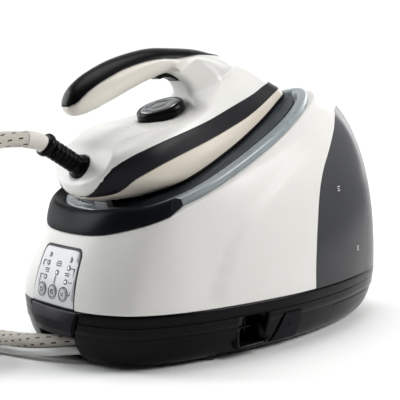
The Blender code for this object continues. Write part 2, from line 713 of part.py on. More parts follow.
def make_dial():
    top = DIAL_HEIGHT
    turned("temperature_dial", [(DIAL_RADIUS - 1.0, 0), (DIAL_RADIUS, 1.0),
                                (DIAL_RADIUS, top - 1.6), (DIAL_RADIUS - 1.4, top), (18.6, top),
                                (18.6, top - 1.4)],
           (DIAL_S, 0, DIAL_N), (0, 0, 1), "black", IRON_FRAME, sides=36)
    turned("dial_insert", [(18.3, 0), (18.3, 1.2), (17.6, 1.8)],
           (DIAL_S, 0, DIAL_N + top - 1.4 + GAP), (0, 0, 1), "aluminium", IRON_FRAME, sides=36)
    cylinder("thermostat_shaft", 3.2, (DIAL_S, 0, 22.6), (DIAL_S, 0, DIAL_N - GAP), "steel",
             IRON_FRAME, sides=12)
    box("thermostat", (DIAL_S - 14, -11, 14.5 + GAP), (DIAL_S + 14, 11, 22.0), "brass", IRON_FRAME)


def guard_point(along):
    """A point of the hose guard's axis in the slanted frame."""
    direction = Vector((math.cos(GUARD_ANGLE), 0, math.sin(GUARD_ANGLE)))
    return Vector(GUARD_START) + along * direction


def make_hose_guard():
    """The ribbed strain relief that leads the hose out of the heel."""
    axis = guard_point(1) - guard_point(0)
    profile = [(11.3, 0), (11.3, 3.5), (8.4, 5.0)]
    for rib in range(5):
        start = 7.0 + rib * 5.5
        profile += [(7.8, start), (8.5, start + 0.8), (8.5, start + 3.2), (7.8, start + 4.0)]
    profile += [(8.0, 36.0), (10.2, 38.5), (10.4, GUARD_LENGTH - 2), (9.4, GUARD_LENGTH)]
    turned("hose_guard", profile, guard_point(0), axis, "black", IRON_FRAME, sides=20)


# ---------------------------------------------------------------- cords

def make_cords():
    tube("steam_hose_at_iron", HOSE_FROM_IRON, HOSE_DIAMETER, "hose")
    tube("steam_hose_at_base", HOSE_TO_BASE, HOSE_DIAMETER, "hose")
    tube("mains_cable", CABLE_TO_BASE, CABLE_DIAMETER, "grey")
    half = HOSE_DIAMETER / 2
    height = GAP + HOSE_DIAMETER * (HOSE_COIL_TURNS + 1)
    section = [(HOSE_COIL_RADIUS - half, GAP), (HOSE_COIL_RADIUS + half, GAP),
               (HOSE_COIL_RADIUS + half, height), (HOSE_COIL_RADIUS - half, height)]
    hollow_turned("steam_hose_coil", section, HOSE_COIL_CENTRE, "hose")
    inner, outer = CABLE_COIL_RADIUS - CABLE_DIAMETER, CABLE_COIL_RADIUS + CABLE_DIAMETER
    section = [(inner, GAP), (outer, GAP), (outer, 4 * CABLE_DIAMETER), (inner, 4 * CABLE_DIAMETER)]
    hollow_turned("mains_cable_coil", section, CABLE_COIL_CENTRE, "grey")


def make_glands():
    direction = Vector((-0.743, 0.669, 0))
    hose_end, cable_end = Vector(HOSE_TO_BASE[-1]), Vector(CABLE_TO_BASE[-1])
    turned("hose_gland", [(8.2, 0), (8.2, 9), (7.2, 12 - GAP)], hose_end - 12.4 * direction,
           direction, "black", sides=16)
    turned("cable_gland", [(4.2, 0), (4.2, 6), (3.8, 14 - GAP)], cable_end - 14 * direction,
           direction, "black", sides=16)


def make_mains_plug():
    """The plug, lying on the coil."""
    x, y = CABLE_COIL_CENTRE
    top = 4 * CABLE_DIAMETER + GAP
    plug = box("mains_plug", (x - 18, y + 24, top), (x + 22, y + 48, top + 14), "grey")
    for pin_y in (y + 26.5, y + 45.5):
        join(plug, cylinder("pin", 2.4, (x - 36, pin_y, top + 7), (x - 17, pin_y, top + 7),
                            sides=10))
    return plug


# ---------------------------------------------------------------- the whole

for thing in list(bpy.data.objects):
    bpy.data.objects.remove(thing)

IRON_FRAME = bpy.data.objects.new("sole_frame", None)
IRON_FRAME.location = (SOLE_X * MM, 0, SOLE_Z * MM)
IRON_FRAME.rotation_euler = (0, -TILT, 0)
bpy.context.scene.collection.objects.link(IRON_FRAME)
bpy.context.view_layer.update()

make_lower_housing()
make_body_shell()
make_front_saddle()
make_rest_tray()
make_rest_mat()
make_control_panel()
make_buttons()
make_indicator_board()
make_descaling_cover()
make_feet()
make_hose_clip()
make_boiler()
make_boiler_cap()
make_water_path()
make_water_tank()
make_fill_flap()
make_tank_valve()
make_soleplate()
make_steam_chamber()
make_heat_shield()
make_trim_band()
make_upper_body()
make_handle()
make_handle_grip()
make_steam_trigger()
make_trigger_switch()
make_dial()
make_hose_guard()
make_glands()
make_cords()
make_mains_plug()
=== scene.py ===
"""The looks of the steam generator iron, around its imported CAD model."""

import json
import math

import bmesh
import bpy
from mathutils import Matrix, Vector


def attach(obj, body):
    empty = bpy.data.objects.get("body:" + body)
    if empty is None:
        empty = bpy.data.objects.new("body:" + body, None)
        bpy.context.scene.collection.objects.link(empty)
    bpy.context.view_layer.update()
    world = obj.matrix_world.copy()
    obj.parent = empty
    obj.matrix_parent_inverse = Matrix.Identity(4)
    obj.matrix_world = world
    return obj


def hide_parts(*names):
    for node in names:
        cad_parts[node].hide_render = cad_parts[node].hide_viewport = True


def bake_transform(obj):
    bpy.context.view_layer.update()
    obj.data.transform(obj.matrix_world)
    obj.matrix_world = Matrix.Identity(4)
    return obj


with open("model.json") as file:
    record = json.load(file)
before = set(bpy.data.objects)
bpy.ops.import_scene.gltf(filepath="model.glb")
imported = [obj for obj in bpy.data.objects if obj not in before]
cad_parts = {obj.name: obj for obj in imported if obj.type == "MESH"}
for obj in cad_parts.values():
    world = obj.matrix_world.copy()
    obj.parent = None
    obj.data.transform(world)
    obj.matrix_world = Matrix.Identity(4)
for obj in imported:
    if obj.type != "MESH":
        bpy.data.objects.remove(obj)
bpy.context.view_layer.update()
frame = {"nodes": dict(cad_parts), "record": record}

MM = 0.001
TILT = math.radians(22.0)
COS, SIN = math.cos(TILT), math.sin(TILT)


def world_point(s, y, n):
    """A point of the sole's slanted frame in the model's frame, in millimetres."""
    return (-60.0 + s * COS - n * SIN, y, 163.6 + s * SIN + n * COS)


# ---------------------------------------------------------------- camera, floor and light

def camera_and_light():
    """The camera, a pale floor that curves up behind the object, and soft studio lamps."""
    scene = bpy.context.scene
    data = bpy.data.cameras.new("camera")
    data.lens, data.sensor_width = 87.66, 36.0
    camera = bpy.data.objects.new("camera", data)
    camera.location = (-0.651, -0.701, 0.240)
    camera.rotation_euler = (math.radians(83.27), 0, math.radians(-42))
    scene.collection.objects.link(camera)
    scene.camera = camera

    builder = bmesh.new()
    depth, height, radius = 2.2, 2.6, 0.9
    profile = [(-3.0, 0.0), (depth - radius, 0.0)]
    profile += [(depth - radius + radius * math.sin(a), radius - radius * math.cos(a))
                for a in (math.pi / 2 * k / 12 for k in range(1, 13))]
    profile.append((depth, height))
    back = Vector((math.sin(math.radians(42)), math.cos(math.radians(42)), 0))
    side = Vector((back.y, -back.x, 0))
    rows = [[builder.verts.new(back * along + side * x + Vector((0, 0, z - 0.0002)))
             for x in (-4.5, 4.5)] for along, z in profile]
    for low, high in zip(rows, rows[1:]):
        builder.faces.new((low[0], low[1], high[1], high[0]))
    mesh = bpy.data.meshes.new("backdrop")
    builder.to_mesh(mesh)
    builder.free()
    mesh.shade_smooth()
    backdrop = bpy.data.objects.new("backdrop", mesh)
    scene.collection.objects.link(backdrop)
    mesh.materials.append(floor_material())

    world = bpy.data.worlds.new("studio")
    world.use_nodes = True
    world.node_tree.nodes["Background"].inputs["Color"].default_value = (1, 1, 1, 1)
    world.node_tree.nodes["Background"].inputs["Strength"].default_value = 0.08
    scene.world = world
    scene.view_settings.view_transform = "Standard"
    scene.view_settings.look = "None"
    scene.view_settings.exposure = 0.0
    for name, place, size, power, tint in (
            ("key", (1.15, -1.3, 1.2), (1.0, 1.0), 33, (1.0, 0.99, 0.98)),
            ("left", (-1.3, 1.5, 0.9), (0.6, 1.4), 26, (0.94, 0.98, 1.0)),
            ("top", (-0.1, 0.1, 1.7), (1.1, 1.1), 15, (1.0, 1.0, 1.0)),
            ("back_left", (0.1, 3.0, 0.9), (3.0, 1.6), 52, (1.0, 1.0, 1.0)),
            ("back_right", (2.4, 0.9, 0.9), (1.6, 1.6), 30, (1.0, 1.0, 1.0))):
        light = bpy.data.lights.new(name, "AREA")
        light.shape, light.size, light.size_y = "RECTANGLE", size[0], size[1]
        light.energy, light.color = power, tint
        lamp = bpy.data.objects.new(name, light)
        lamp.location = place
        aim = Vector((0, 0, 0.12)) if not name.startswith("back") else Vector((1.2, 1.6, 0.3))
        lamp.rotation_euler = (aim - Vector(place)).to_track_quat("-Z", "Y").to_euler()
        scene.collection.objects.link(lamp)


# ---------------------------------------------------------------- materials

class Nodes:
    """Short names for a material's nodes."""

    def __init__(self, name):
        self.material = bpy.data.materials.new(name)
        self.material.use_nodes = True
        self.tree = self.material.node_tree
        self.shader = self.tree.nodes["Principled BSDF"]

    def put(self, socket, value):
        if isinstance(value, bpy.types.NodeSocket):
            self.tree.links.new(value, socket)
        elif isinstance(value, (tuple, list)) and len(value) == 3 and socket.type == "RGBA":
            socket.default_value = (*value, 1)
        else:
            socket.default_value = value

    def set(self, **values):
        for key, value in values.items():
            self.put(self.shader.inputs[key.replace("_", " ")], value)

    def add(self, kind, settings=(), **inputs):
        node = self.tree.nodes.new(kind)
        for key, value in dict(settings).items():
            setattr(node, key, value)
        for key, value in inputs.items():
            index = int(key[1:]) if key[0] == "i" and key[1:].isdigit() else key.replace("_", " ")
            self.put(node.inputs[index], value)
        return node

    def place(self):
        return self.add("ShaderNodeTexCoord").outputs["Object"]

    def noise(self, scale, detail=3.0, vector=None):
        return self.add("ShaderNodeTexNoise", Vector=vector or self.place(), Scale=scale,
                        Detail=detail).outputs["Fac"]

    def math(self, operation, a, b=0.0):
        return self.add("ShaderNodeMath", {"operation": operation}, i0=a, i1=b).outputs[0]

    def spread(self, value, low, high, start=0.0, end=1.0):
        return self.add("ShaderNodeMapRange", Value=value, From_Min=start, From_Max=end,
                        To_Min=low, To_Max=high).outputs["Result"]

    def mix(self, share, a, b):
        node = self.add("ShaderNodeMix", {"data_type": "RGBA"})
        self.put(node.inputs["Factor"], share)
        self.put(node.inputs["A"], a)
        self.put(node.inputs["B"], b)
        return node.outputs["Result"]

    def bump(self, height, distance, strength=1.0, normal=None):
        node = self.add("ShaderNodeBump", Height=height, Distance=distance, Strength=strength)
        if normal is not None:
            self.put(node.inputs["Normal"], normal)
        return node.outputs["Normal"]


def floor_material():
    made = Nodes("floor")
    soft = made.noise(3.0, 2.0)
    made.set(Base_Color=made.mix(soft, (0.93, 0.93, 0.93), (0.95, 0.95, 0.95)),
             Roughness=made.spread(soft, 0.55, 0.65), Specular_IOR_Level=0.25)
    return made.material


def plastic(name, colour, other, roughness, grain=0.000012, grain_scale=2600.0, gloss=0.5,
            coat=0.0):
    """Moulded plastic: a fine grain, slow colour and gloss variation, and slight sink waves."""
    made = Nodes(name)
    slow = made.noise(14.0, 3.0)
    smears = made.noise(60.0, 4.0)
    fine = made.noise(grain_scale, 2.0)
    waves = made.noise(28.0, 1.0)
    normal = made.bump(waves, 0.00010, 0.25)
    made.set(Base_Color=made.mix(made.spread(slow, 0, 1, 0.35, 0.65), colour, other),
             Roughness=made.math("ADD", made.spread(smears, roughness * 0.9, roughness * 1.12,
                                                    0.3, 0.7),
                                 made.spread(fine, -0.015, 0.015)),
             Normal=made.bump(fine, grain, 0.6, normal), Specular_IOR_Level=gloss,
             Coat_Weight=coat, Coat_Roughness=0.06)
    return made.material


def metal(name, colour, other, roughness, stretch=(1, 40, 40), scale=60.0, depth=0.00002):
    """Brushed, cast or turned metal."""
    made = Nodes(name)
    mapped = made.add("ShaderNodeMapping", Vector=made.place(), Scale=stretch).outputs[0]
    lines = made.noise(scale, 5.0, mapped)
    cloud = made.noise(9.0, 3.0)
    made.set(Base_Color=made.mix(cloud, colour, other), Metallic=1.0,
             Roughness=made.spread(lines, roughness * 0.8, roughness * 1.25, 0.3, 0.7),
             Normal=made.bump(lines, depth, 0.5))
    return made.material


def rubber(name, colour, other, roughness=0.7):
    made = Nodes(name)
    fine = made.noise(1500.0, 3.0)
    dust = made.noise(40.0, 4.0)
    made.set(Base_Color=made.mix(made.spread(dust, 0, 1, 0.45, 0.75), colour, other),
             Roughness=made.spread(fine, roughness * 0.9, min(1.0, roughness * 1.15)),
             Normal=made.bump(fine, 0.00004, 0.7), Specular_IOR_Level=0.35)
    return made.material


def pearl():
    """The iron's white plastic, with painted warm reflected light high on the handle towards its
    rear end, where it lies in shade.
    """
    made = Nodes("pearl_plastic")
    axes = made.add("ShaderNodeSeparateXYZ", Vector=made.place())
    x, z = axes.outputs["X"], axes.outputs["Z"]
    along = made.math("ADD", made.math("MULTIPLY", x, COS), made.math("MULTIPLY", z, SIN))
    across = made.math("SUBTRACT", made.math("MULTIPLY", z, COS), made.math("MULTIPLY", x, SIN))
    # painted warm reflected light: the white turns warmer high on the handle towards its rear end,
    # which lies in shade
    warm_light_share = made.math("MULTIPLY", made.spread(across, 0.0, 1.0, 0.244, 0.262),
                          made.spread(along, 1.0, 0.0, 0.01, 0.075))
    slow = made.spread(made.noise(14.0, 3.0), 0, 1, 0.35, 0.65)
    fine = made.noise(2600.0, 2.0)
    white = made.mix(slow, (0.72, 0.715, 0.69), (0.70, 0.695, 0.67))
    warm_light_tint = made.mix(slow, (0.70, 0.665, 0.60), (0.68, 0.645, 0.58))
    made.set(Base_Color=made.mix(warm_light_share, white, warm_light_tint),
             Roughness=made.spread(made.noise(60.0, 4.0), 0.27, 0.35, 0.3, 0.7),
             Normal=made.bump(fine, 0.000012, 0.6), Specular_IOR_Level=0.35)
    return made.material


def smoked_tank():
    """Smoke-tinted clear plastic, which looks dark grey over the water tank's inside."""
    made = Nodes("smoked_tank")
    slow = made.noise(10.0, 2.0)
    place = made.add("ShaderNodeSeparateXYZ", Vector=made.place()).outputs["Z"]
    # darker towards the bottom: painted shade at the tank's foot, against the light that the floor
    # throws up on it
    high = made.spread(place, 0.0, 1.0, 0.05, 0.22)
    dark = made.mix(high, (0.030, 0.031, 0.033), (0.082, 0.084, 0.092))
    fine = made.noise(1800.0, 2.0)
    made.set(Base_Color=made.mix(made.spread(slow, 0, 0.35), dark, (0.072, 0.074, 0.080)),
             Roughness=made.spread(fine, 0.20, 0.26), Specular_IOR_Level=0.10,
             Coat_Weight=0.0,
             Normal=made.bump(made.noise(20.0, 1.0), 0.00012, 0.3))
    return made.material


def board():
    """A printed board: solder mask over traces."""
    made = Nodes("printed_board")
    cells = made.add("ShaderNodeTexBrick", Vector=made.place(), Scale=220.0).outputs["Fac"]
    made.set(Base_Color=made.mix(cells, (0.02, 0.13, 0.05), (0.05, 0.26, 0.10)),
             Roughness=made.spread(made.noise(300.0), 0.3, 0.5),
             Normal=made.bump(cells, 0.00004, 0.8))
    return made.material


def braid():
    """The hose's woven cotton cover. The UV map holds turns and metres along the hose."""
    made = Nodes("hose_braid")
    uv = made.add("ShaderNodeSeparateXYZ", Vector=made.add(
        "ShaderNodeUVMap", {"uv_map": "along"}).outputs["UV"])
    turn, along = uv.outputs["X"], uv.outputs["Y"]

    def wave(turns, pitch):
        angle = made.math("ADD", made.math("MULTIPLY", turn, turns * 2 * math.pi),
                          made.math("MULTIPLY", along, 2 * math.pi / pitch))
        return made.math("SINE", angle)

    left, right = wave(16, 0.0026), wave(-16, 0.0026)
    weave = made.math("MULTIPLY", left, right)
    yarn = made.spread(made.noise(900.0, 4.0), 0.85, 1.05)

    def near_half(value, width):
        return made.math("LESS_THAN", made.math("ABSOLUTE", made.math("SUBTRACT", value, 0.5)),
                         width)

    def dashes(rows, pitch, shift):
        """Short dark stitches in rows that wind round the hose."""
        place = made.math("ADD", made.math("MULTIPLY", turn, rows),
                          made.math("MULTIPLY", along, shift))
        down = made.math("ADD", made.math("DIVIDE", along, pitch),
                         made.math("MULTIPLY", made.math("FLOOR", place), 0.5))
        return made.math("MULTIPLY", near_half(made.math("FRACT", place), 0.11),
                         near_half(made.math("FRACT", down), 0.20))

    black = dashes(7.0, 0.0105, 22.0)
    cream = made.mix(made.spread(weave, 0, 1, -0.9, 0.9), (0.42, 0.385, 0.33),
                     (0.74, 0.70, 0.63))
    cream = made.mix(made.spread(yarn, 0.3, 0.0, 0.85, 1.05), cream, (0.52, 0.49, 0.44))
    made.set(Base_Color=made.mix(black, cream, (0.025, 0.024, 0.024)), Roughness=0.85,
             Specular_IOR_Level=0.2, Sheen_Weight=0.25, Sheen_Roughness=0.5,
             Normal=made.bump(made.math("ADD", weave, made.noise(2500.0, 2.0)), 0.0004, 0.55))
    return made.material


MATERIALS = {
    "white": plastic("white_plastic", (0.72, 0.71, 0.685), (0.70, 0.69, 0.665), 0.36, gloss=0.22),
    "cream": plastic("cream_plastic", (0.66, 0.61, 0.525), (0.635, 0.585, 0.50), 0.30, coat=0.1),
    "black": plastic("black_gloss", (0.0022, 0.0022, 0.0028), (0.0034, 0.0034, 0.004), 0.20,
                     gloss=0.08),
    "soft_black": plastic("soft_grip", (0.0020, 0.0020, 0.0028), (0.0032, 0.0032, 0.004), 0.34,
                          grain=0.00003, gloss=0.12),
    "anthracite": plastic("anthracite", (0.0090, 0.0084, 0.0107), (0.012, 0.0113, 0.0142), 0.33,
                          gloss=0.09),
    "saddle": plastic("saddle_grey", (0.0045, 0.0052, 0.0072), (0.0065, 0.0075, 0.0098), 0.42,
                      gloss=0.05),
    "tray_grey": plastic("tray_grey", (0.27, 0.31, 0.335), (0.24, 0.28, 0.305), 0.28, coat=0.2),
    "grey": plastic("light_grey", (0.62, 0.62, 0.61), (0.58, 0.58, 0.57), 0.4),
    "panel_face": plastic("panel_face", (0.60, 0.61, 0.625), (0.575, 0.585, 0.60), 0.34),
    "print": plastic("print_ink", (0.035, 0.035, 0.04), (0.055, 0.055, 0.06), 0.5),
    "lamp": plastic("lamp_lens", (0.50, 0.51, 0.50), (0.55, 0.56, 0.55), 0.15, coat=0.5),
    "button": plastic("button_grey", (0.60, 0.61, 0.62), (0.56, 0.57, 0.58), 0.28),
    "smoke": smoked_tank(),
    "steel": metal("polished_steel", (0.62, 0.62, 0.63), (0.56, 0.56, 0.57), 0.20),
    "aluminium": metal("cast_aluminium", (0.64, 0.64, 0.66), (0.55, 0.55, 0.57), 0.42,
                       stretch=(1, 1, 1), scale=420.0, depth=0.00008),
    "disc": metal("turned_disc", (0.30, 0.31, 0.32), (0.24, 0.25, 0.26), 0.32),
    "pearl": pearl(),
    "brass": metal("brass", (0.66, 0.48, 0.20), (0.60, 0.42, 0.17), 0.3),
    "board_green": board(),
    "rubber": rubber("rubber", (0.018, 0.018, 0.018), (0.045, 0.044, 0.042)),
    "mat": rubber("silicone_mat", (0.030, 0.038, 0.046), (0.055, 0.064, 0.074), 0.5),
    "hose": braid(),
    "cuff": rubber("hose_cuff", (0.66, 0.63, 0.58), (0.60, 0.57, 0.52), 0.55),
    "cable": plastic("cable_grey", (0.66, 0.655, 0.64), (0.62, 0.615, 0.60), 0.42,
                     grain=0.00003, grain_scale=1200.0),
}


# ---------------------------------------------------------------- shapes

OUTLINE_STEPS = 8  # points for each span between two control points
SEAM_Z = 50.0
DECK_N = -6.0
SEAM_OUTLINE = [(-193, 0), (-191, 34), (-181, 62), (-160, 85), (-117, 101.5), (-55, 109),
                (5, 110), (65, 102), (120, 87.5), (170, 65.5), (194, 35), (200, 0)]
DECK_OUTLINE = [(-125, 0), (-121, 36), (-106, 60), (-86, 78), (-54, 89), (-10, 92),
                (40, 83.5), (85, 71.5), (128, 56), (166, 38), (194, 19.5), (205, 0)]
TRAY_OUTLINE = [(-93, 0), (-92, 36), (-84, 57), (-66, 73), (-32, 83), (10, 81.5),
                (55, 74.5), (95, 65), (136, 50), (168, 33), (187, 16.5), (195, 0)]
SOLE_OUTLINE = [(-75, 0), (-72, 20), (-60, 41), (-27, 58), (32, 52), (93, 35), (147, 13), (170, 0)]
FRONT_LEAN, REAR_ROUND = 1.65, 2.2
TANK_EDGE = [(29.5, 40), (30, 67), (33, 87), (38, 108), (48, 136), (62, 158), (84, 179),
             (104, 196), (120, 209), (140, 218), (215, 226)]
IRON_SECTIONS = [(5, 169, -76, 58), (12, 166, -95, 60), (20, 158, -104, 60), (30, 148, -106, 59),
                 (40, 139, -106, 57.5), (46, 132, -103, 55), (52, 125, -98, 50),
                 (57, 119, -80, 44), (60, 115.5, -60, 40.5), (64, 110.5, -40, 37),
                 (70, 103, -20, 33.5), (76, 94.5, -12, 31), (82, 84.5, -10, 29), (88, 73, -8, 27)]
BAND_LOW = [(-115, 19), (-98, 19.2), (-90, 19.8), (-86.5, 21.3), (-83, 23), (-80, 25), (-74, 27.3),
            (-62, 28.8), (-48, 29), (-30, 27.8), (-14, 26.2), (15, 23), (48, 19.6), (80, 16.4),
            (127, 14), (170, 12.8)]
BAND_HIGH = [(-115, 42), (-90, 42), (-80, 44.6), (-64, 46.6), (-38, 45.4), (-3, 41.2), (27, 37.4),
             (59, 34.2), (83, 31.4), (113, 27.6), (135, 26), (155, 24)]
DIAL_S, DIAL_N, DIAL_RADIUS = 11.5, 47.5, 23.0
HEEL_RADIUS, HEEL_N = 39.0, 48.0
GUARD_START = Vector((-91.0, 0.0, 41.8))
GUARD_RIBS, RIB_PITCH = 6, 4.9
GUARD_AXIS = Vector((math.cos(math.radians(127)), 0, math.sin(math.radians(127))))
HANDLE_STATIONS = [((-86.5, 93.5), (-85.5, 99.5), 5.0), ((-82.3, 87.0), (-79.5, 106.3), 10.5),
                   ((-73.0, 84.3), (-72.0, 110.8), 13.5), ((-60.0, 83.4), (-59.0, 114.4), 15.8),
                   ((-40.0, 83.9), (-42.6, 116.3), 17.0), ((-20.0, 84.6), (-24.0, 116.6), 17.0),
                   ((0.0, 85.0), (-1.5, 114.4), 17.0), ((15.0, 84.4), (20.5, 110.0), 17.0),
                   ((30.0, 83.0), (44.0, 101.3), 17.0), ((44.0, 80.5), (66.5, 91.8), 17.0),
                   ((54.0, 75.5), (85.0, 81.0), 17.5), ((59.0, 69.0), (98.0, 73.0), 18.0),
                   ((60.5, 60.4), (110.5, 60.4), 19.0)]


def spline(points, per_span, closed=False):
    """Catmull-Rom values through rows of numbers."""
    rows = [tuple(map(float, p)) for p in points]
    count = len(rows)
    if closed:
        pick = lambda k: rows[k % count]
        spans = count
    else:
        ends = [tuple(2 * a - b for a, b in zip(rows[0], rows[1])),
                tuple(2 * a - b for a, b in zip(rows[-1], rows[-2]))]
        pick = lambda k: ends[0] if k < 0 else ends[1] if k >= count else rows[k]
        spans = count - 1
    result = []
    for k in range(spans):
        four = [pick(k + d) for d in (-1, 0, 1, 2)]
        for step in range(per_span):
            t = step / per_span
            result.append(tuple(
                0.5 * (2 * b + (c - a) * t + (2 * a - 5 * b + 4 * c - d) * t * t
                       + (3 * b - a - 3 * c + d) * t ** 3) for a, b, c, d in zip(*four)))
    if not closed:
        result.append(rows[-1])
    return result


def closed_outline(controls, inset=0.0):
    """A whole outline from half of it, moved inwards by inset; it runs anticlockwise."""
    mirrored = [(x, -y) for x, y in controls] + [(x, y) for x, y in controls[-2:0:-1]]
    loop = [Vector(p) for p in spline(mirrored, OUTLINE_STEPS, closed=True)]
    if not inset:
        return loop
    moved = []
    for index, point in enumerate(loop):
        along = (loop[(index + 1) % len(loop)] - loop[index - 1]).normalized()
        moved.append(point + inset * Vector((-along.y, along.x)))
    return moved


def between(pairs, at):
    """The values after the first in rows of numbers, read at a first value."""
    if at <= pairs[0][0]:
        return pairs[0][1:]
    for low, high in zip(pairs, pairs[1:]):
        if at <= high[0]:
            share = (at - low[0]) / (high[0] - low[0])
            return tuple(a + share * (b - a) for a, b in zip(low[1:], high[1:]))
    return pairs[-1][1:]


def smooth_step(low, high, value):
    t = min(1.0, max(0.0, (value - low) / (high - low)))
    return t * t * (3 - 2 * t)


def new_piece(name, builder, colour=None, angle=38):
    """An object from a mesh builder in millimetres, sharp where faces meet at over the angle."""
    bmesh.ops.recalc_face_normals(builder, faces=builder.faces)
    bmesh.ops.scale(builder, vec=(MM, MM, MM), verts=builder.verts)
    mesh = bpy.data.meshes.new(name)
    builder.to_mesh(mesh)
    builder.free()
    mesh.shade_smooth()
    mesh.set_sharp_from_angle(angle=math.radians(angle))
    piece = bpy.data.objects.new(name, mesh)
    bpy.context.scene.collection.objects.link(piece)
    if colour:
        mesh.materials.append(MATERIALS[colour])
    return piece


def loft(name, rings, colour=None, slanted=False, closed=False, angle=38):
    """A solid through rings of equally many points. Slanted rings are (s, y, n). A closed loft
    joins its last ring to its first, and any other gets a cap at each end."""
    builder = bmesh.new()
    rows = [[builder.verts.new(world_point(*p) if slanted else p) for p in ring]
            for ring in rings]
    pairs = list(zip(rows, rows[1:] + rows[:1])) if closed else list(zip(rows, rows[1:]))
    for low, high in pairs:
        for index in range(len(low)):
            after = (index + 1) % len(low)
            builder.faces.new((low[index], low[after], high[after], high[index]))
    if not closed:
        builder.faces.new(rows[0][::-1])
        builder.faces.new(rows[-1])
    return new_piece(name, builder, colour, angle)


def flat_ring(outline, height):
    return [(p[0], p[1], height) for p in outline]


def side_prism(name, profile, half_width, colour=None, slanted=False):
    rings = [[(a, side * half_width, b) for a, b in profile] for side in (-1, 1)]
    return loft(name, rings, colour, slanted)


def front_prism(name, outline, low_x, high_x, colour=None):
    return loft(name, [[(x, y, z) for y, z in outline] for x in (low_x, high_x)], colour)


def slabs(name, loops, colour):
    """Thin printed or moulded shapes, each from its front loop of points to its back loop."""
    builder = bmesh.new()
    for pair in loops:
        front, back = [[builder.verts.new(point) for point in loop] for loop in pair]
        for k in range(len(front)):
            after = (k + 1) % len(front)
            builder.faces.new((front[k], front[after], back[after], back[k]))
        builder.faces.new(front)
        builder.faces.new(back[::-1])
    return new_piece(name, builder, colour)


def box(name, low, high, colour=None, slanted=False):
    ring = [(low[0], low[1]), (high[0], low[1]), (high[0], high[1]), (low[0], high[1])]
    return loft(name, [flat_ring(ring, low[2]), flat_ring(ring, high[2])], colour, slanted)


def arc_points(y, z, radius, start, end, steps):
    turns = [math.radians(start + (end - start) * k / steps) for k in range(steps + 1)]
    return [(y + radius * math.cos(turn), z + radius * math.sin(turn)) for turn in turns]


def disc(y, z, radius, sides=20):
    return arc_points(y, z, radius, 0, 360, sides)[:-1]


def turned(name, profile, centre, axis, colour=None, slanted=False, sides=64, angle=38):
    """A turned solid: its profile's rows are a radius and a place along the axis."""
    turn = Vector((0, 0, 1)).rotation_difference(Vector(axis)).to_matrix()
    rings = [[tuple(Vector(centre) + turn @ Vector((a, b, along)))
              for a, b in disc(0, 0, radius, sides)] for radius, along in profile]
    return loft(name, rings, colour, slanted, angle=angle)


def applied(piece):
    """The piece with its modifiers made part of its mesh."""
    bpy.context.view_layer.update()
    mesh = bpy.data.meshes.new_from_object(
        piece.evaluated_get(bpy.context.evaluated_depsgraph_get()))
    piece.modifiers.clear()
    old, piece.data = piece.data, mesh
    bpy.data.meshes.remove(old)
    return piece


def combine(piece, other, operation="DIFFERENCE"):
    """A boolean with another object, which is used up. The exact solver needs its cuts in order:
    what makes a hole comes before what makes a seam."""
    modifier = piece.modifiers.new("boolean", "BOOLEAN")
    modifier.operation, modifier.solver, modifier.object = operation, "EXACT", other
    applied(piece)
    bpy.data.objects.remove(other)
    return piece


def cut(piece, *cutters):
    for cutter in cutters:
        combine(piece, cutter)
    return piece


def rounded(piece, width, segments=3, angle=35, apply=False):
    """Rounded edges, in millimetres. They are applied where more cuts follow."""
    modifier = piece.modifiers.new("edges", "BEVEL")
    modifier.width, modifier.segments = width * MM, segments
    modifier.limit_method, modifier.angle_limit = "ANGLE", math.radians(angle)
    modifier.use_clamp_overlap = True
    modifier.harden_normals = not apply
    return applied(piece) if apply else piece


def done(piece, body, slot, *nodes):
    """The piece rides on a body and stands for CAD nodes, whose parts are hidden; the slot argument
    is not used.
    """
    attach(piece, body)
    if nodes:
        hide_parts(*nodes)
    return piece


# ---------------------------------------------------------------- the station's casing

CREASE = [(-95, 40), (-91, 64), (-84, 77), (-77, 92), (-69, 105), (-53, 119), (-37, 133),
          (-14, 147), (20, 167), (52, 184), (90, 200), (140, 215)]


def crease_distance(x, z):
    """How far a point of the side wall is above the crease line, in millimetres."""
    best, sign = 1e9, 1
    for (ax, az), (bx, bz) in zip(CREASE, CREASE[1:]):
        dx, dz = bx - ax, bz - az
        t = min(1, max(0, ((x - ax) * dx + (z - az) * dz) / (dx * dx + dz * dz)))
        px, pz = ax + t * dx, az + t * dz
        distance = math.hypot(x - px, z - pz)
        if distance < best:
            best, sign = distance, 1 if dx * (z - pz) - dz * (x - px) > 0 else -1
    return sign * best


def envelope_rings(inset, deck_n):
    """The casing's wall as rings, from the seam with the tub up to the slanted deck."""
    base = closed_outline(SEAM_OUTLINE, inset=inset)
    deck = closed_outline(DECK_OUTLINE, inset=inset)
    count = len(base)
    low_z = SEAM_Z + 0.3
    rings = []
    for height in WALL_HEIGHTS:
        ring = []
        for index, (low, top) in enumerate(zip(base, deck)):
            x_top, _, z_top = world_point(top.x, 0, deck_n)
            backness = min(index, count - index) / (count / 2)
            rear = min(1.0, max(0.0, (backness - 0.36) / 0.45))
            lean = ((1 - rear) * height ** FRONT_LEAN
                    + rear * (1 - (1 - min(height, 1.0) ** REAR_ROUND) ** (1 / REAR_ROUND)))
            x = low.x + lean * (x_top - low.x)
            y = low.y + lean * (top.y - low.y)
            z = low_z + height * (z_top - low_z)
            if abs(y) > 30:
                push = 2.2 * smooth_step(-1.5, 4.5, crease_distance(x, z))
                push *= smooth_step(50, 58, z) * smooth_step(30, 60, abs(y))
                push *= 1 - smooth_step(95, 130, x)
                push *= smooth_step(-135, -95, x)
                y -= math.copysign(push, y)
            ring.append((x, y, z))
        rings.append(ring)
    return rings


PANEL_GAP, WALL = 0.4, 2.5
LEVEL_MARKS = [(82.0, 137.0), (112.0, 75.0)]
WALL_HEIGHTS = [0.0] + [k / 44 for k in range(1, 44)] + [1.0]


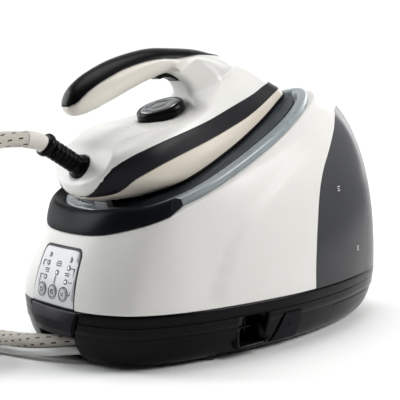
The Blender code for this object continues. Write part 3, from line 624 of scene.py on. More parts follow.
def envelope(name, colour=None, inset=0.0, deck_n=DECK_N, floor=None, rounding=0.0):
    """The whole casing as one solid, which the shell, the tank and the panel are cut from."""
    rings = envelope_rings(inset, deck_n)
    if floor is not None:
        rings = [[(x, y, floor) for x, y, _ in rings[0]]] + rings
    piece = loft(name, rings, colour)
    return rounded(piece, rounding, 4, 30, apply=True) if rounding else piece


def tank_profile(offset):
    """The tank's side view, closed far behind it, with its front edge moved to the rear."""
    edge = [Vector(p) for p in spline(TANK_EDGE, 8)]
    moved = []
    for index, point in enumerate(edge):
        along = (edge[min(index + 1, len(edge) - 1)] - edge[max(index - 1, 0)]).normalized()
        moved.append((point.x + offset * along.y, point.y - offset * along.x))
    return moved + [(262, moved[-1][1]), (262, moved[0][1])]


PANEL_SHAPE = [(-32.0, 44.0), (32.0, 44.0), (28.3, 94.5), (26.6, 98.5), (23.5, 100.7),
               (20.0, 101.0), (-20.0, 101.0), (-23.5, 100.7), (-26.6, 98.5), (-28.3, 94.5)]


def make_shell():
    """The white casing, open for the tray, the tank and the panel."""
    shell = envelope("shell", "white", rounding=1.6)
    cut(shell, envelope("shell_inside", inset=WALL, deck_n=DECK_N - WALL, floor=SEAM_Z - 8))
    opening = [(y + math.copysign(PANEL_GAP, y), z + (PANEL_GAP if z > SEAM_Z else 0))
               for y, z in PANEL_SHAPE]
    hole = loft("tray_hole", stacked(TRAY_OUTLINE, ((6.0, -30), (6.0, 30))), slanted=True)
    cut(shell, hole, side_prism("tank_space", tank_profile(0.0), 140),
        front_prism("panel_space", opening, -215, -150))
    rounded(shell, 0.5, 2, 40)
    done(shell, "base", "white", "body_shell")


def make_tank():
    """The hollow smoked tank and the flap over its filling mouth."""
    tank = envelope("tank", "smoke", inset=0.15)
    combine(tank, side_prism("tank_block", tank_profile(0.55), 140), "INTERSECT")
    room = envelope("room", inset=WALL, deck_n=DECK_N - WALL)
    combine(room, side_prism("room_block", tank_profile(3.0), 140), "INTERSECT")
    combine(room, box("floor", (0, -140, 0), (260, 140, SEAM_Z + 2.8)))
    cut(tank, room, box("mouth", (120, -24.3, 167.7), (230, 24.3, 204.3)))
    rounded(tank, 0.9, 3, 40)
    done(tank, "tank", "smoke", "water_tank")
    flap = envelope("flap", "anthracite", inset=0.2)
    cut(flap, envelope("flap_inside", inset=WALL, deck_n=DECK_N - WALL, floor=30))
    combine(flap, box("flap_window", (130, -24, 168), (230, 24, 204)), "INTERSECT")
    rounded(flap, 0.7, 2, 40)
    done(flap, "fill_flap", "anthracite", "fill_flap")


def wall_y(wall, x, z, side):
    """The y of the casing's side wall at a place, read from the nearest points of its rings."""
    nearest = sorted((p for ring in wall for p in ring if p[1] * side > 0),
                     key=lambda p: (p[0] - x) ** 2 + (p[2] - z) ** 2)[:4]
    weights = [1 / (0.2 + math.hypot(p[0] - x, p[2] - z)) for p in nearest]
    return sum(p[1] * w for p, w in zip(nearest, weights)) / sum(weights)


def make_level_marks():
    """Two small printed level marks on each side of the tank, without any words."""
    wall = envelope_rings(0.15, DECK_N)
    for name, side in (("right", -1), ("left", 1)):
        loops = []
        for x, z in LEVEL_MARKS:
            for length, lift in ((5.0, 0.0), (3.4, 1.9), (5.0, 3.8)):
                corners = [(a, wall_y(wall, a, b, side), b)
                           for a, b in ((x, z + lift), (x + length, z + lift + 0.35),
                                        (x + length, z + lift + 1.15), (x, z + lift + 0.8))]
                loops.append([[(a, y + side * out, b) for a, y, b in corners]
                              for out in (0.45, -0.2)])
        done(slabs(f"level_marks_{name}", loops, "grey"), "tank", "smoke")


def stacked(outline, levels):
    """Rings of one outline, from rows of an inset and a height."""
    return [flat_ring(closed_outline(outline, inset=inset), height) for inset, height in levels]


def make_lower_housing():
    """The black tub: a seam groove, an upper band and a ledge, and the walls under it."""
    levels = [(20, 3), (16, 4.2), (13.2, 7), (11, 10), (8.2, 15), (6, 20), (4.2, 26), (3.1, 30),
              (3.0, 30.6), (2.0, 31.4), (1.6, 35), (1.0, 39.2), (1.7, 39.7), (1.7, 40.5),
              (0.8, 41.0), (0.3, 45), (0, 48.6), (0.4, 49.6), (1.2, SEAM_Z)]
    tub = loft("tub", stacked(SEAM_OUTLINE, levels), "black", angle=50)
    inside = [(inset + WALL, z) for inset, z in
              ((17, 6), (11, 12), (6, 21), (2.6, 34), (0.4, SEAM_Z), (0.4, SEAM_Z + 8))]
    cut(tub, loft("tub_inside", stacked(SEAM_OUTLINE, inside)))
    notch = [(-35, 58), (-35, 46), (-31.6, 38), (-28.0, 30), (-25.6, 24), (-25.4, 5), (25.4, 5),
             (25.6, 24), (28.0, 30), (31.6, 38), (35, 46), (35, 58)]
    cut(tub, front_prism("notch", notch, -215, -174))
    lining = box("lining", (-68, -103, 9), (-32, -76, 41))
    combine(tub, lining, "UNION")
    cut(tub, rounded(box("pocket", (-66, -125, 11), (-34, -78, 39)), 3, 3, 30, apply=True))
    cut(tub, box("valve_way", (185, -9, 46), (215, 9, 58)))
    done(tub, "base", "black", "lower_housing")
    for number, (low, high, z) in enumerate(((-168, -56, 29), (66, 150, 28))):
        make_side_lips(number, low, high, z)


def housing_wall(x, z, out=0.0):
    """The y of the tub's right wall at a place, as a negative number."""
    inset = between([(3, 17), (10, 11), (20, 6), (34, 2), (50, 0)], z)[0]
    outline = sorted((p.x, p.y) for p in closed_outline(SEAM_OUTLINE, inset=inset) if p.y < 0)
    return between(outline, x)[0] - out


def make_side_lips(number, low, high, z, steps=26):
    """A thin moulded lip along the black wall, on both sides."""
    for name, side in (("right", -1), ("left", 1)):
        rings = []
        for x in (low + (high - low) * k / steps for k in range(steps + 1)):
            wall = housing_wall(x, z)
            rings.append([(x, -side * (wall + inward), z + lift) for inward, lift in
                          ((0.6, -0.9), (-0.45, -0.5), (-0.55, 0.3), (0.6, 0.9))])
        done(loft(f"side_lip_{number}_{name}", rings, "black"), "base", "black")


def make_clip():
    """The cover of the hose stowage: a thin plate on the wall, wider at its foot."""
    levels = ((7.0, -24, 12), (12, -22, 10.5), (20, -19.5, 9.8), (28, -16.5, 9.2), (34.5, -14, 8.8))
    rings = []
    for z, low, high in levels:
        outside = [(x, housing_wall(x, z, 1.9), z)
                   for x in (low + (high - low) * k / 8 for k in range(9))]
        rings.append(outside + [(x, y + 1.6, z) for x, y, z in outside[::-1]])
    clip = loft("stow_clip", rings, "saddle")
    rounded(clip, 0.6, 2, 40)
    done(clip, "base", "anthracite", "hose_clip")
    screw = turned("clip_screw", [(2.4, 0), (2.4, 0.7), (1.9, 1.1)],
                   (-5, housing_wall(-5, 24, 1.4), 24), (0, -1, 0.1), "black", sides=24)
    done(screw, "base", "black")


SADDLE_SPAN = 27  # outline points on each side of the middle


def make_saddle():
    """The dark moulding round the front of the deck, highest beside the heel."""
    deck = closed_outline(DECK_OUTLINE)
    tray = closed_outline(TRAY_OUTLINE, inset=-0.6)
    crest = spline([(8.0,), (8.0,), (9.0,), (10.6,), (10.6,), (9.0,), (7.4,), (6.4,), (5.6,),
                    (5.0,)], 4)
    rings = []
    for step in range(-SADDLE_SPAN, SADDLE_SPAN + 1):
        outer, inner = deck[step], tray[step]
        height = crest[min(len(crest) - 1, 4 + abs(step))][0]
        row = []
        for share, rise in ((0.0, 0.0), (0.05, 0.22), (0.16, 0.47), (0.30, 0.75), (0.44, 0.94),
                            (0.52, 1.0), (0.60, 1.0), (0.68, 0.96)):
            place = outer.lerp(inner, share)
            row.append((place.x, place.y, -5.7 + (height + 5.7) * rise))
        row += [(inner.x, inner.y, 1.0 if height > 1 else height), (inner.x, inner.y, -5.7)]
        rings.append(row)
    saddle = loft("saddle", rings, "saddle", slanted=True)
    rounded(saddle, 0.8, 2, 45)
    done(saddle, "base", "black", "front_saddle")


def make_tray():
    """The rim round the resting iron, its grooved mat, and the lug that the heel leans on."""
    levels = ((6.4, -13.0), (6.4, -5.7), (0.3, -5.7), (0.0, -4.6), (0.0, -0.6), (0.5, 0.6),
              (1.4, 1.2), (3.0, 1.5), (8.6, 1.5), (9.8, 1.1), (10.5, 0.2), (11.2, -1.6),
              (11.9, -3.4), (12.6, -4.0))
    tray = loft("tray", stacked(TRAY_OUTLINE, levels), "tray_grey", slanted=True)
    done(tray, "base", "tray_grey", "rest_tray")
    levels = ((14, -3.7), (14, -0.9), (14.6, -0.35), (16, -0.3))
    mat = loft("mat", stacked(TRAY_OUTLINE, levels), "mat", slanted=True)
    for k in range(9):
        s = -62 + 24 * k
        half = 34 - max(0, s - 40) * 0.28
        groove = [(s - 1.2, -0.2), (s - 0.8, -1.0), (s + 0.8, -1.0), (s + 1.2, -0.2)]
        cut(mat, side_prism("groove", groove, half, slanted=True))
    done(mat, "base", "rubber", "rest_mat")
    lug = box("heel_lug", (-86, -12, -3.9), (-79.5, 7, 5.5), "panel_face", slanted=True)
    rounded(lug, 1.2, 3)
    done(lug, "base", "tray_grey")


# ---------------------------------------------------------------- the control panel

def front_x(y, z):
    """x on the front of the casing, near its middle."""
    height = (z - SEAM_Z - 0.3) / (world_point(-125, 0, DECK_N)[2] - SEAM_Z - 0.3)
    low = closed_outline(SEAM_OUTLINE)
    deck = closed_outline(DECK_OUTLINE)
    best = None
    for index in range(-24, 25):
        lean = height ** FRONT_LEAN
        x_top = world_point(deck[index].x, 0, DECK_N)[0]
        x = low[index].x + lean * (x_top - low[index].x)
        wide = low[index].y + lean * (deck[index].y - low[index].y)
        if best is None or abs(wide - y) < best[0]:
            best = (abs(wide - y), x)
    return best[1]


FRONT_CACHE = {}


def panel_x(y, z):
    """The front surface, read between rows that are worked out once."""
    def row(level):
        if level not in FRONT_CACHE:
            FRONT_CACHE[level] = [(k * 4.0 - 40, front_x(k * 4.0 - 40, level)) for k in range(21)]
        return FRONT_CACHE[level]
    low = math.floor(z / 5) * 5
    share = (z - low) / 5
    a, b = between(row(low), y)[0], between(row(low + 5), y)[0]
    return a + share * (b - a)


def on_panel(name, loops, out, depth, colour):
    """Flat printed or moulded shapes laid on the panel: closed (y, z) loops, out from the face."""
    pairs = [[[(panel_x(y, z) + step, y, z) for y, z in loop] for step in (-out, depth)]
             for loop in loops]
    return done(slabs(name, pairs, colour), "base", "grey")


def bar(y0, z0, y1, z1, width=0.75):
    """A straight printed line."""
    along = Vector((y1 - y0, z1 - z0)).normalized()
    across = Vector((-along.y, along.x)) * width / 2
    a, b = Vector((y0, z0)), Vector((y1, z1))
    return [tuple(a + across), tuple(a - across), tuple(b - across), tuple(b + across)]


def arc(y, z, radius, start, end, width=0.75, steps=10):
    """A bent printed line, with its angles in degrees."""
    return (arc_points(y, z, radius + width / 2, start, end, steps)
            + arc_points(y, z, radius - width / 2, start, end, steps)[::-1])


def inner_shape(shape, amount):
    """An anticlockwise loop moved inwards."""
    moved = []
    for k, point in enumerate(shape):
        along = (Vector(shape[(k + 1) % len(shape)]) - Vector(shape[k - 1])).normalized()
        moved.append((point[0] - amount * along.y, point[1] + amount * along.x))
    return moved


def fine_loop(shape):
    """The same loop with a point about every 3 mm."""
    result = []
    for a, b in zip(shape, shape[1:] + shape[:1]):
        a, b = Vector(a), Vector(b)
        count = max(1, round((b - a).length / 3))
        result += [tuple(a.lerp(b, k / count)) for k in range(count)]
    return result


BUTTONS = {"eco": 16.0, "power": 0.0, "descale": -16.0}
BUTTON_Z, BUTTON_RADIUS = 62.5, 4.6
LAMPS = [(14.5, 85.5), (14.5, 73.5), (-1.5, 79.0), (-16.5, 84.5), (-16.5, 73.0)]


def button_holes():
    return [turned("hole", [(5.0, 0), (5.0, 50)], (-215, y, BUTTON_Z), (1, 0, 0), sides=40)
            for y in BUTTONS.values()]


def make_panel():
    """The dark frame, the pale face in it, its lamps and generic marks, and the buttons."""
    surround = envelope("panel_frame", "anthracite")
    cut(surround, envelope("panel_inside", inset=WALL, deck_n=DECK_N - WALL, floor=30))
    combine(surround, front_prism("panel_window", PANEL_SHAPE, -215, -160), "INTERSECT")
    cut(surround, *button_holes())
    rounded(surround, 0.5, 2, 40)
    done(surround, "base", "grey", "control_panel")

    shape = inner_shape([(y, max(z, SEAM_Z + 0.4)) for y, z in PANEL_SHAPE], 1.9)
    face = front_prism("panel_face_block", fine_loop(shape), -215, -160, "panel_face")
    combine(face, envelope("panel_skin", inset=-0.35), "INTERSECT")
    cut(face, envelope("panel_skin_inside", inset=0.3, floor=30), *button_holes())
    face.name = "panel_face"
    done(face, "base", "grey")

    on_panel("lamp_rims", [disc(y, z, 2.3) for y, z in LAMPS], 0.75, 0.1, "print")
    on_panel("lamps", [disc(y, z, 1.15) for y, z in LAMPS], 0.95, 0.1, "lamp")
    lines = []
    for y, z in LAMPS[:2]:
        lines += [bar(y + 3.6, z + 1.5, y + 8.0, z + 1.5), bar(y + 8, z + 1.5, y + 8, z - 3)]
    lines += [bar(*line) for line in (
        (22.5, 63, 22.5, 71.5), (22.5, 63, 21.0, 63), (-24.5, 84.5, -24.5, 62.5),
        (-24.5, 84.5, -20, 84.5), (-24.5, 73, -20, 73), (-24.5, 62.5, -22.6, 62.5),
        (-1.0, 76.2, -0.4, 69.6), (14.5, 91, 14.5, 94.6, 0.7),
        (11, 80.8, 17, 80.8, 0.8), (11, 79.3, 17, 79.3, 0.8), (11, 77.8, 15, 77.8, 0.8),
        (-5.2, 86.6, 2.6, 86.6, 0.9), (-5.0, 84.8, 2.0, 84.8, 0.9), (-4.0, 88.3, 1.4, 88.3, 0.7),
        (-16.5, 90, -16.5, 94.2, 0.8), (-19.2, 79.9, -13.2, 79.9, 0.9),
        (-19.0, 78.2, -13.6, 78.2, 0.9))]
    lines += [arc(14.5, 92.2, 1.7, 20, 340, 0.7), arc(-16.5, 91.2, 1.7, 60, 300, 0.8)]
    lines += [arc(y, BUTTON_Z, 6.0, 0, 359.9, 0.6, 40) for y in BUTTONS.values()]
    on_panel("panel_marks", lines, 0.75, 0.1, "print")
    make_buttons()


def make_buttons():
    x = panel_x(0, BUTTON_Z)
    profile = [(BUTTON_RADIUS + 1.2, 0), (BUTTON_RADIUS + 1.2, 1.0), (BUTTON_RADIUS, 1.0),
               (BUTTON_RADIUS, 6.3), (BUTTON_RADIUS - 0.25, 6.9), (BUTTON_RADIUS - 0.8, 7.25),
               (3.0, 7.15), (1.5, 6.9)]
    for name, y in BUTTONS.items():
        button = turned(f"button_{name}_cap", profile, (x + 5.9, y, BUTTON_Z), (-1, 0, 0), "button",
                        sides=48, angle=50)
        done(button, f"{name}_button", "white", f"button_{name}")
        marks = {"eco": [arc(y, BUTTON_Z, 1.7, 30, 330)],
                 "power": [arc(y, BUTTON_Z, 1.8, 120, 420),
                           bar(y, BUTTON_Z + 0.6, y, BUTTON_Z + 2.8)],
                 "descale": [bar(y - 1.8, BUTTON_Z + lift, y + 1.8, BUTTON_Z + lift)
                             for lift in (-1.0, 0.8)]}[name]
        loops = [[[(x - out, a, b) for a, b in loop] for out in (1.38, 0.6)] for loop in marks]
        done(slabs(f"button_{name}_mark", loops, "print"), f"{name}_button", "white")


def make_cover():
    """The faceted flap under the panel and the chin below it."""
    facets = ((23.4, -189.5, 24.2), (24.6, -192.3, 25.6), (26.8, -194.6, 30.4),
              (27.4, -195.2, 31.6), (30.6, -196.4, 39.2), (31.2, -196.2, 40.6),
              (33.8, -193.9, 48.2), (33.9, -193.2, 49.2))
    rings = []
    for half, front, z in facets:
        row = [(front + 2.6 * (abs(k) / 10) ** 2.2, half * k / 10, z) for k in range(-10, 11)]
        row += [(-187.0, half, z), (-187.0, -half, z)]
        rings.append(row)
    cover = loft("cover", rings, "anthracite", angle=12)
    rounded(cover, 0.5, 2, 12)
    done(cover, "cover", "anthracite", "descaling_cover")


# ---------------------------------------------------------------- the iron

def iron_outline(front, rear, half_width):
    """The sole's outline, stretched to another length and width."""
    low, high = SOLE_OUTLINE[0][0], SOLE_OUTLINE[-1][0]
    widest = max(w for _, w in SOLE_OUTLINE)
    stretched = [(rear + (s - low) / (high - low) * (front - rear), w / widest * half_width)
                 for s, w in SOLE_OUTLINE]
    return closed_outline(stretched)


def section(n):
    return between(SMOOTH_SECTIONS, n)


SMOOTH_SECTIONS = spline(IRON_SECTIONS, 6)
SMOOTH_LOW, SMOOTH_HIGH = spline(BAND_LOW, 8), spline(BAND_HIGH, 8)


def iron_ring(n):
    return flat_ring(iron_outline(*section(n)), n)


def seam_ring(seam, offset=0.0, wall=0.0, push=0.0):
    """A ring on the iron's outside, or on a wall inside it, whose height follows a seam."""
    outlines = {}

    def outline(n):
        key = round(n * 4) / 4
        if key not in outlines:
            outlines[key] = iron_outline(*section(key))
        return outlines[key]

    ring = []
    for index in range(OUTLINE_STEPS * 2 * (len(SOLE_OUTLINE) - 1)):
        n = seam[len(seam) // 2][1]
        for _ in range(5):
            n = between(seam, outline(n)[index].x)[0] + offset
        front, rear, half = section(n)
        place = iron_place(front - 1.4 * wall, rear + 1.3 * wall, half - wall - push, index)
        ring.append((place.x, place.y, n))
    return ring


PLACES = {}


def iron_place(front, rear, half, index):
    """One point of a stretched outline, which is worked out once."""
    key = (round(front, 2), round(rear, 2), round(half, 2))
    if key not in PLACES:
        PLACES[key] = iron_outline(*key)
    return PLACES[key][index]


def heel_slant(gap=0.0):
    """Everything behind the slanted line where the white heel begins."""
    edge = spline([(-106, 2), (-104, 14), (-101.5, 23), (-98.5, 30), (-94.5, 36), (-89.5, 41.5),
                   (-82, 47), (-74, 53)], 5)
    profile = [(s + gap, n) for s, n in edge] + [(-74 + gap, 110), (-160, 110), (-160, 2)]
    return side_prism("heel_slant", profile, 75, slanted=True)


def heel_bar():
    """The round heel's space, which opens out towards the front."""
    flare = [(HEEL_RADIUS + more, along) for more, along in
             ((0, 0), (0, 38), (1, 44), (4, 52), (12, 62), (28, 74))]
    return turned("heel_shape", flare, (-140, 0, HEEL_N), (1, 0, 0), slanted=True, sides=96)


def rows_between(low, high, shares=(0.2, 0.4, 0.6, 0.8)):
    """Rings on the iron's outside, each a share of the way from one ring up to another."""
    rings = []
    for share in shares:
        heights = [a[2] + share * (b[2] - a[2]) for a, b in zip(low, high)]
        places = [iron_place(*section(n), index) for index, n in enumerate(heights)]
        rings.append([(place.x, place.y, n) for place, n in zip(places, heights)])
    return rings


def make_skirt():
    """The cream side of the iron, from the sole up to the black band."""
    bottom, low = iron_ring(5.3), seam_ring(SMOOTH_LOW, -0.35)
    rings = [bottom, *rows_between(bottom, low), low, seam_ring(SMOOTH_LOW, push=0.5),
             seam_ring(SMOOTH_LOW, wall=8), flat_ring(iron_outline(157, -66, 50), 5.3)]
    skirt = loft("skirt", rings, "cream", slanted=True, closed=True)
    cut(skirt, heel_slant(0.35))
    done(skirt, "iron", "cream", "heat_shield")


def make_band():
    """The black band round the iron, between two seams."""
    low, high = seam_ring(SMOOTH_LOW, 0.6), seam_ring(SMOOTH_HIGH, -0.3)
    rings = [seam_ring(SMOOTH_LOW, 0.25, push=0.5), low, *rows_between(low, high), high,
             seam_ring(SMOOTH_HIGH, push=0.5), seam_ring(SMOOTH_HIGH, wall=9),
             seam_ring(SMOOTH_LOW, 0.3, wall=9)]
    band = loft("band", rings, "anthracite", slanted=True, closed=True)
    cut(band, heel_slant(0.35))
    done(band, "iron", "anthracite", "trim_band")


ABOVE = [(-130, 13.5), (-101, 36), (-83, 50), (-72, 55.5), (-60, 57.3), (-40, 56.3), (-21, 52.5),
         (-4, 49.0), (10, 46.7), (22, 45.6), (30, 46.2), (35, 49.5), (38.5, 55), (40.5, 61),
         (40, 67), (37, 73), (32, 79), (26, 84)]


def slanted_place(point):
    """The (s, y, n) of a place in the scene: world_point the other way round."""
    x, z = point.x / MM + 60.0, point.z / MM - 163.6
    return x * COS + z * SIN, point.y / MM, z * COS - x * SIN


def skin(piece):
    """The piece's outside as one even mesh."""
    remesh = piece.modifiers.new("skin", "REMESH")
    remesh.mode, remesh.voxel_size, remesh.use_smooth_shade = "VOXEL", 1.2 * MM, True
    return applied(piece)


def foot_half_width(s, n):
    """Half the width that the handle's foot may have: hollow beside the dial, rounded behind."""
    behind = between([(46, 30), (49.5, 35), (55, 38.5), (61, 40.5), (67, 40), (73, 37), (79, 32),
                      (84, 26)], n)[0]
    edge = min(1.0, max(0.0, (s - behind) / 8))
    half = 14.2 + 0.13 * (s - 40) + 34 * (1 - smooth_step(43, 62, n)) ** 1.6
    return half * (0.62 + 0.38 * math.sqrt(1 - (1 - edge) ** 2))


def flowed(piece):
    """The joined shapes as one even skin, relaxed where the handle's foot meets the casing."""
    skin(piece)
    group = piece.vertex_groups.new(name="foot")
    for vertex in piece.data.vertices:
        s, y, n = slanted_place(vertex.co)
        weight = (smooth_step(14, 34, s) * (1 - smooth_step(98, 112, s)) * smooth_step(45, 52, n)
                  * (1 - smooth_step(92, 102, n)))
        if weight > 0.01:
            group.add([vertex.index], weight, "REPLACE")
    relax = piece.modifiers.new("relax", "SMOOTH")
    relax.factor, relax.iterations, relax.vertex_group = 0.5, 45, "foot"
    applied(piece)
    piece.vertex_groups.clear()
    for vertex in piece.data.vertices:
        s, y, n = slanted_place(vertex.co)
        if s > 24 and 46 < n < 84 and abs(y) > foot_half_width(s, n):
            vertex.co.y = math.copysign(foot_half_width(s, n), y) * MM
    skin(piece)
    even = piece.modifiers.new("even", "SMOOTH")
    even.factor, even.iterations = 0.5, 5
    return applied(piece)


def below_seam():
    """Everything under the seam with the black band, apart from the heel."""
    under = loft("under", [flat_ring(iron_outline(190, -130, 80), -10),
                           seam_ring(SMOOTH_HIGH, 0.3, wall=-8),
                           seam_ring(SMOOTH_HIGH, 0.3, wall=25)], slanted=True)
    return combine(under, heel_slant(), "DIFFERENCE")


def make_upper_body():
    """The casing's top, the heel and the handle's shell, which are one white moulding."""
    base = seam_ring(SMOOTH_HIGH, -3.0)
    rings = [seam_ring(SMOOTH_HIGH, -3.0, wall=13), base]
    rings += rows_between(base, iron_ring(46), (0.25, 0.5, 0.75))
    rings += [iron_ring(46 + 1.5 * k) for k in range(29)]
    body = loft("upper", rings, "pearl", slanted=True)
    hollow = loft("hollow", [flat_ring(iron_outline(132, -88, 50), 17),
                             flat_ring(iron_outline(122, -88, 46), 41)], slanted=True)
    heel_rings = [flat_ring(iron_outline(164, -85, 57.5), 7)]
    heel_rings += [iron_ring(n) for n in (9, 12, 15, 18, 20, 24, 28, 32, 36, 40)]
    heel_rings += [flat_ring(iron_outline(*section(40)), 43)]
    heel = loft("heel", heel_rings, slanted=True)
    combine(heel, heel_bar(), "INTERSECT")
    rounded(heel, 5.0, 6, 30, apply=True)
    combine(heel, heel_slant(), "INTERSECT")
    cut(heel, loft("heel_inside", [flat_ring(iron_outline(140, -78, 47), 0),
                                   flat_ring(iron_outline(132, -86, 47), 37.5)], slanted=True))
    cut(body, hollow)
    combine(body, heel, "UNION")
    above = spline(ABOVE, 4) + [(26, 110), (-130, 110)]
    cut(body, side_prism("above", above, 70, slanted=True))
    rounded(body, 3.2, 5, 26, apply=True)
    combine(body, loft("handle", handle_rings(False), slanted=True, angle=50), "UNION")
    cut(body, turned("dial_seat", [(DIAL_RADIUS + 1.0, 0), (DIAL_RADIUS + 1.0, 30)],
                     (DIAL_S, 0, DIAL_N - 1), (0, 0, 1), slanted=True))
    cut(body, turned("shaft_hole", [(3.6, 0), (3.6, 40)], (DIAL_S, 0, 30), (0, 0, 1), slanted=True))
    cut(body, turned("guard_hole", [(12.4, 0), (12.4, 42)], GUARD_START - 0.3 * GUARD_AXIS,
                     GUARD_AXIS, slanted=True))
    flowed(body)
    room = [(12, 78), (12, 91), (22, 97), (36, 92), (42, 84), (42.5, 76), (39, 71), (30, 70)]
    cut(body, side_prism("trigger_room", room, 7.4, slanted=True))
    cut(body, below_seam())
    body.data.shade_smooth()
    body.data.set_sharp_from_angle(angle=math.radians(50))
    done(body, "iron", "white", "upper_body", "handle_shell")


def sole_rings(rows):
    return [flat_ring(iron_outline(front, rear, half), n) for n, front, rear, half in rows]


def make_sole():
    """The steel sole with its steam vents, and a black ring over its side, a painted shadow for the
    dark gap under the skirt.
    """
    rings = sole_rings(((0.0, 167, -72.5, 55.5), (0.15, 168.6, -74, 57), (0.7, 169.8, -75, 58),
                        (2.0, 170.5, -76, 58.5), (4.3, 170.5, -76, 58.5), (5.0, 169.5, -75, 57.5)))
    sole = loft("sole", rings, "steel", slanted=True)
    for k in range(1, 9):
        for side in (-1, 1):
            cut(sole, turned("vent", [(1.6, 0), (1.6, 4)], (128 - 15 * k, side * (4 + 4.4 * k), -1),
                             (0, 0, 1), slanted=True, sides=16))
    done(sole, "iron", "steel", "soleplate")
    # painted shadow: a thin black ring over the steel sole's side stands for the shadow gap under
    # the cream skirt
    rings = sole_rings(((1.6, 169.4, -75.2, 57.6), (1.6, 171.0, -76.6, 59.0),
                        (5.6, 171.0, -77.0, 59.4), (5.6, 169.4, -75.2, 57.6)))
    edge = loft("sole_shadow_ring", rings, "black", slanted=True, closed=True)
    rounded(edge, 0.4, 2, 40)
    done(edge, "iron", "black")


GRIP_DEPTH = [(-90, 9.3), (40, 9.3), (60, 7.6), (76, 5.0), (88, 2.4), (96, 0.5), (97, 0.05),
              (120, 0.05)]
GRIP_END, GRIP_GAP = 96.5, 0.12


def handle_rings(top):
    """Slices across the handle: the grip on top of it, or the shell under the grip."""
    stations = [(a[0], a[1], b[0], b[1], w) for a, b, w in HANDLE_STATIONS]
    rings = []
    for a0, a1, b0, b1, half in spline(stations, 6):
        if top and b0 > GRIP_END:
            break
        inner, outer = Vector((a0, a1)), Vector((b0, b1))
        middle, up = (inner + outer) / 2, (outer - inner) / 2
        split = max(0.15, 1 - between(GRIP_DEPTH, b0)[0] / up.length)
        edge = math.asin(split)
        lift = up.normalized() * (GRIP_GAP if top else -GRIP_GAP)
        start, sweep, count = ((edge, math.pi - 2 * edge, 22) if top else
                               (math.pi - edge, math.pi + 2 * edge, 40))
        ring = []
        for angle in (start + sweep * k / count for k in range(count + 1)):
            sine = math.sin(angle)
            place = middle + up * sine + lift
            ring.append((place.x, half * math.cos(angle), place.y))
        rings.append(ring)
    return rings


def make_handle():
    """The grip on the handle and the steam trigger under it."""
    grip = loft("grip", handle_rings(True), "soft_black", slanted=True, angle=60)
    rounded(grip, 0.9, 3, 60)
    done(grip, "iron", "soft_black", "handle_grip")
    profile = [(14, 89), (13.3, 87.2), (13.5, 85.5), (14.8, 83.2), (17, 81.3), (24, 80.4),
               (29.5, 77.8), (33.6, 74.6), (36, 71.8), (38.6, 72), (40.8, 75.5), (40.6, 80),
               (36, 85.5), (30, 88)]
    trigger = side_prism("trigger", profile, 6.8, "soft_black", slanted=True)
    rounded(trigger, 1.4, 4, 40)
    done(trigger, "trigger", "soft_black", "steam_trigger")


def make_dial():
    """The dial, its metal insert with generic dots, and the pointer beside it."""
    radius = DIAL_RADIUS
    profile = [(radius - 1.6, 0), (radius - 0.5, 0.3), (radius, 1.2), (radius + 0.1, 4.5),
               (radius - 0.2, 7.6), (radius - 0.8, 9.2), (radius - 1.8, 9.9), (radius - 3.0, 10.0),
               (19.2, 9.7), (18.6, 9.2), (18.6, 8.6)]
    dial = turned("dial", profile, (DIAL_S, 0, DIAL_N), (0, 0, 1), "black", slanted=True, sides=96)
    done(dial, "dial", "black", "temperature_dial")
    disc_piece = turned("dial_disc", [(18.3, 0), (18.3, 1.0), (18.0, 1.4), (17.4, 1.6), (9, 1.6),
                                      (8.6, 1.35), (8.0, 1.35), (7.6, 1.6), (3, 1.6)],
                        (DIAL_S, 0, DIAL_N + 8.9), (0, 0, 1), "disc", slanted=True, sides=96)
    done(disc_piece, "dial", "aluminium", "dial_insert")
    loops = []
    for dots, angle in ((1, 55), (2, 115), (3, 175)):
        for k in range(dots):
            turn = math.radians(angle + (k - (dots - 1) / 2) * 11)
            dot = disc(DIAL_S + 13.2 * math.cos(turn), 13.2 * math.sin(turn), 1.0, 16)
            loops.append([[world_point(s, y, DIAL_N + height) for s, y in dot]
                          for height in (10.62, 10.22)])
    done(slabs("dial_marks", loops, "print"), "dial", "black")
    profile = [(DIAL_S + s, DIAL_N + n) for s, n in
               ((23.8, -1.6), (27.5, -2.0), (27.5, -1.0), (24.2, 1.0))]
    tick = side_prism("dial_pointer", profile, 1.3, "black", slanted=True)
    rounded(tick, 0.3, 2)
    done(tick, "iron", "black")


def make_guard():
    """The ribbed bend relief, with slots across its ribs."""
    profile = [(10.2, 0), (11.3, 0.5), (11.4, 3.0), (10.9, 3.9), (8.6, 4.6), (8.1, 5.4)]
    for rib in range(GUARD_RIBS):
        start = 6.4 + rib * RIB_PITCH
        profile += [(7.3, start), (7.3, start + 0.7), (8.4, start + 1.2), (8.6, start + 1.7),
                    (8.6, start + 3.4), (8.4, start + 3.9), (7.3, start + 4.4)]
    profile += [(8.0, 36.6), (9.6, 38.2), (10.3, 39.6), (10.5, 41.6), (10.2, 43.2), (9.4, 44.0),
                (7.6, 44.0)]
    guard = turned("guard", profile, GUARD_START, GUARD_AXIS, "black", slanted=True, sides=64,
                   angle=50)
    for k in range(4):
        angle = math.pi / 4 + k * math.pi / 2
        across = (Vector((-GUARD_AXIS.z, 0, GUARD_AXIS.x)) * math.cos(angle)
                  + Vector((0, math.sin(angle), 0)))
        for rib in range(k % 2, GUARD_RIBS, 2):
            along = 6.4 + rib * RIB_PITCH + 2.6
            centre = GUARD_START + GUARD_AXIS * along + across * 7.9
            cut(guard, turned("slot", [(1.1, -3.0), (1.1, 3.0)], centre,
                              across.cross(GUARD_AXIS), slanted=True, sides=10))
    done(guard, "iron", "black", "hose_guard")


# ---------------------------------------------------------------- cords

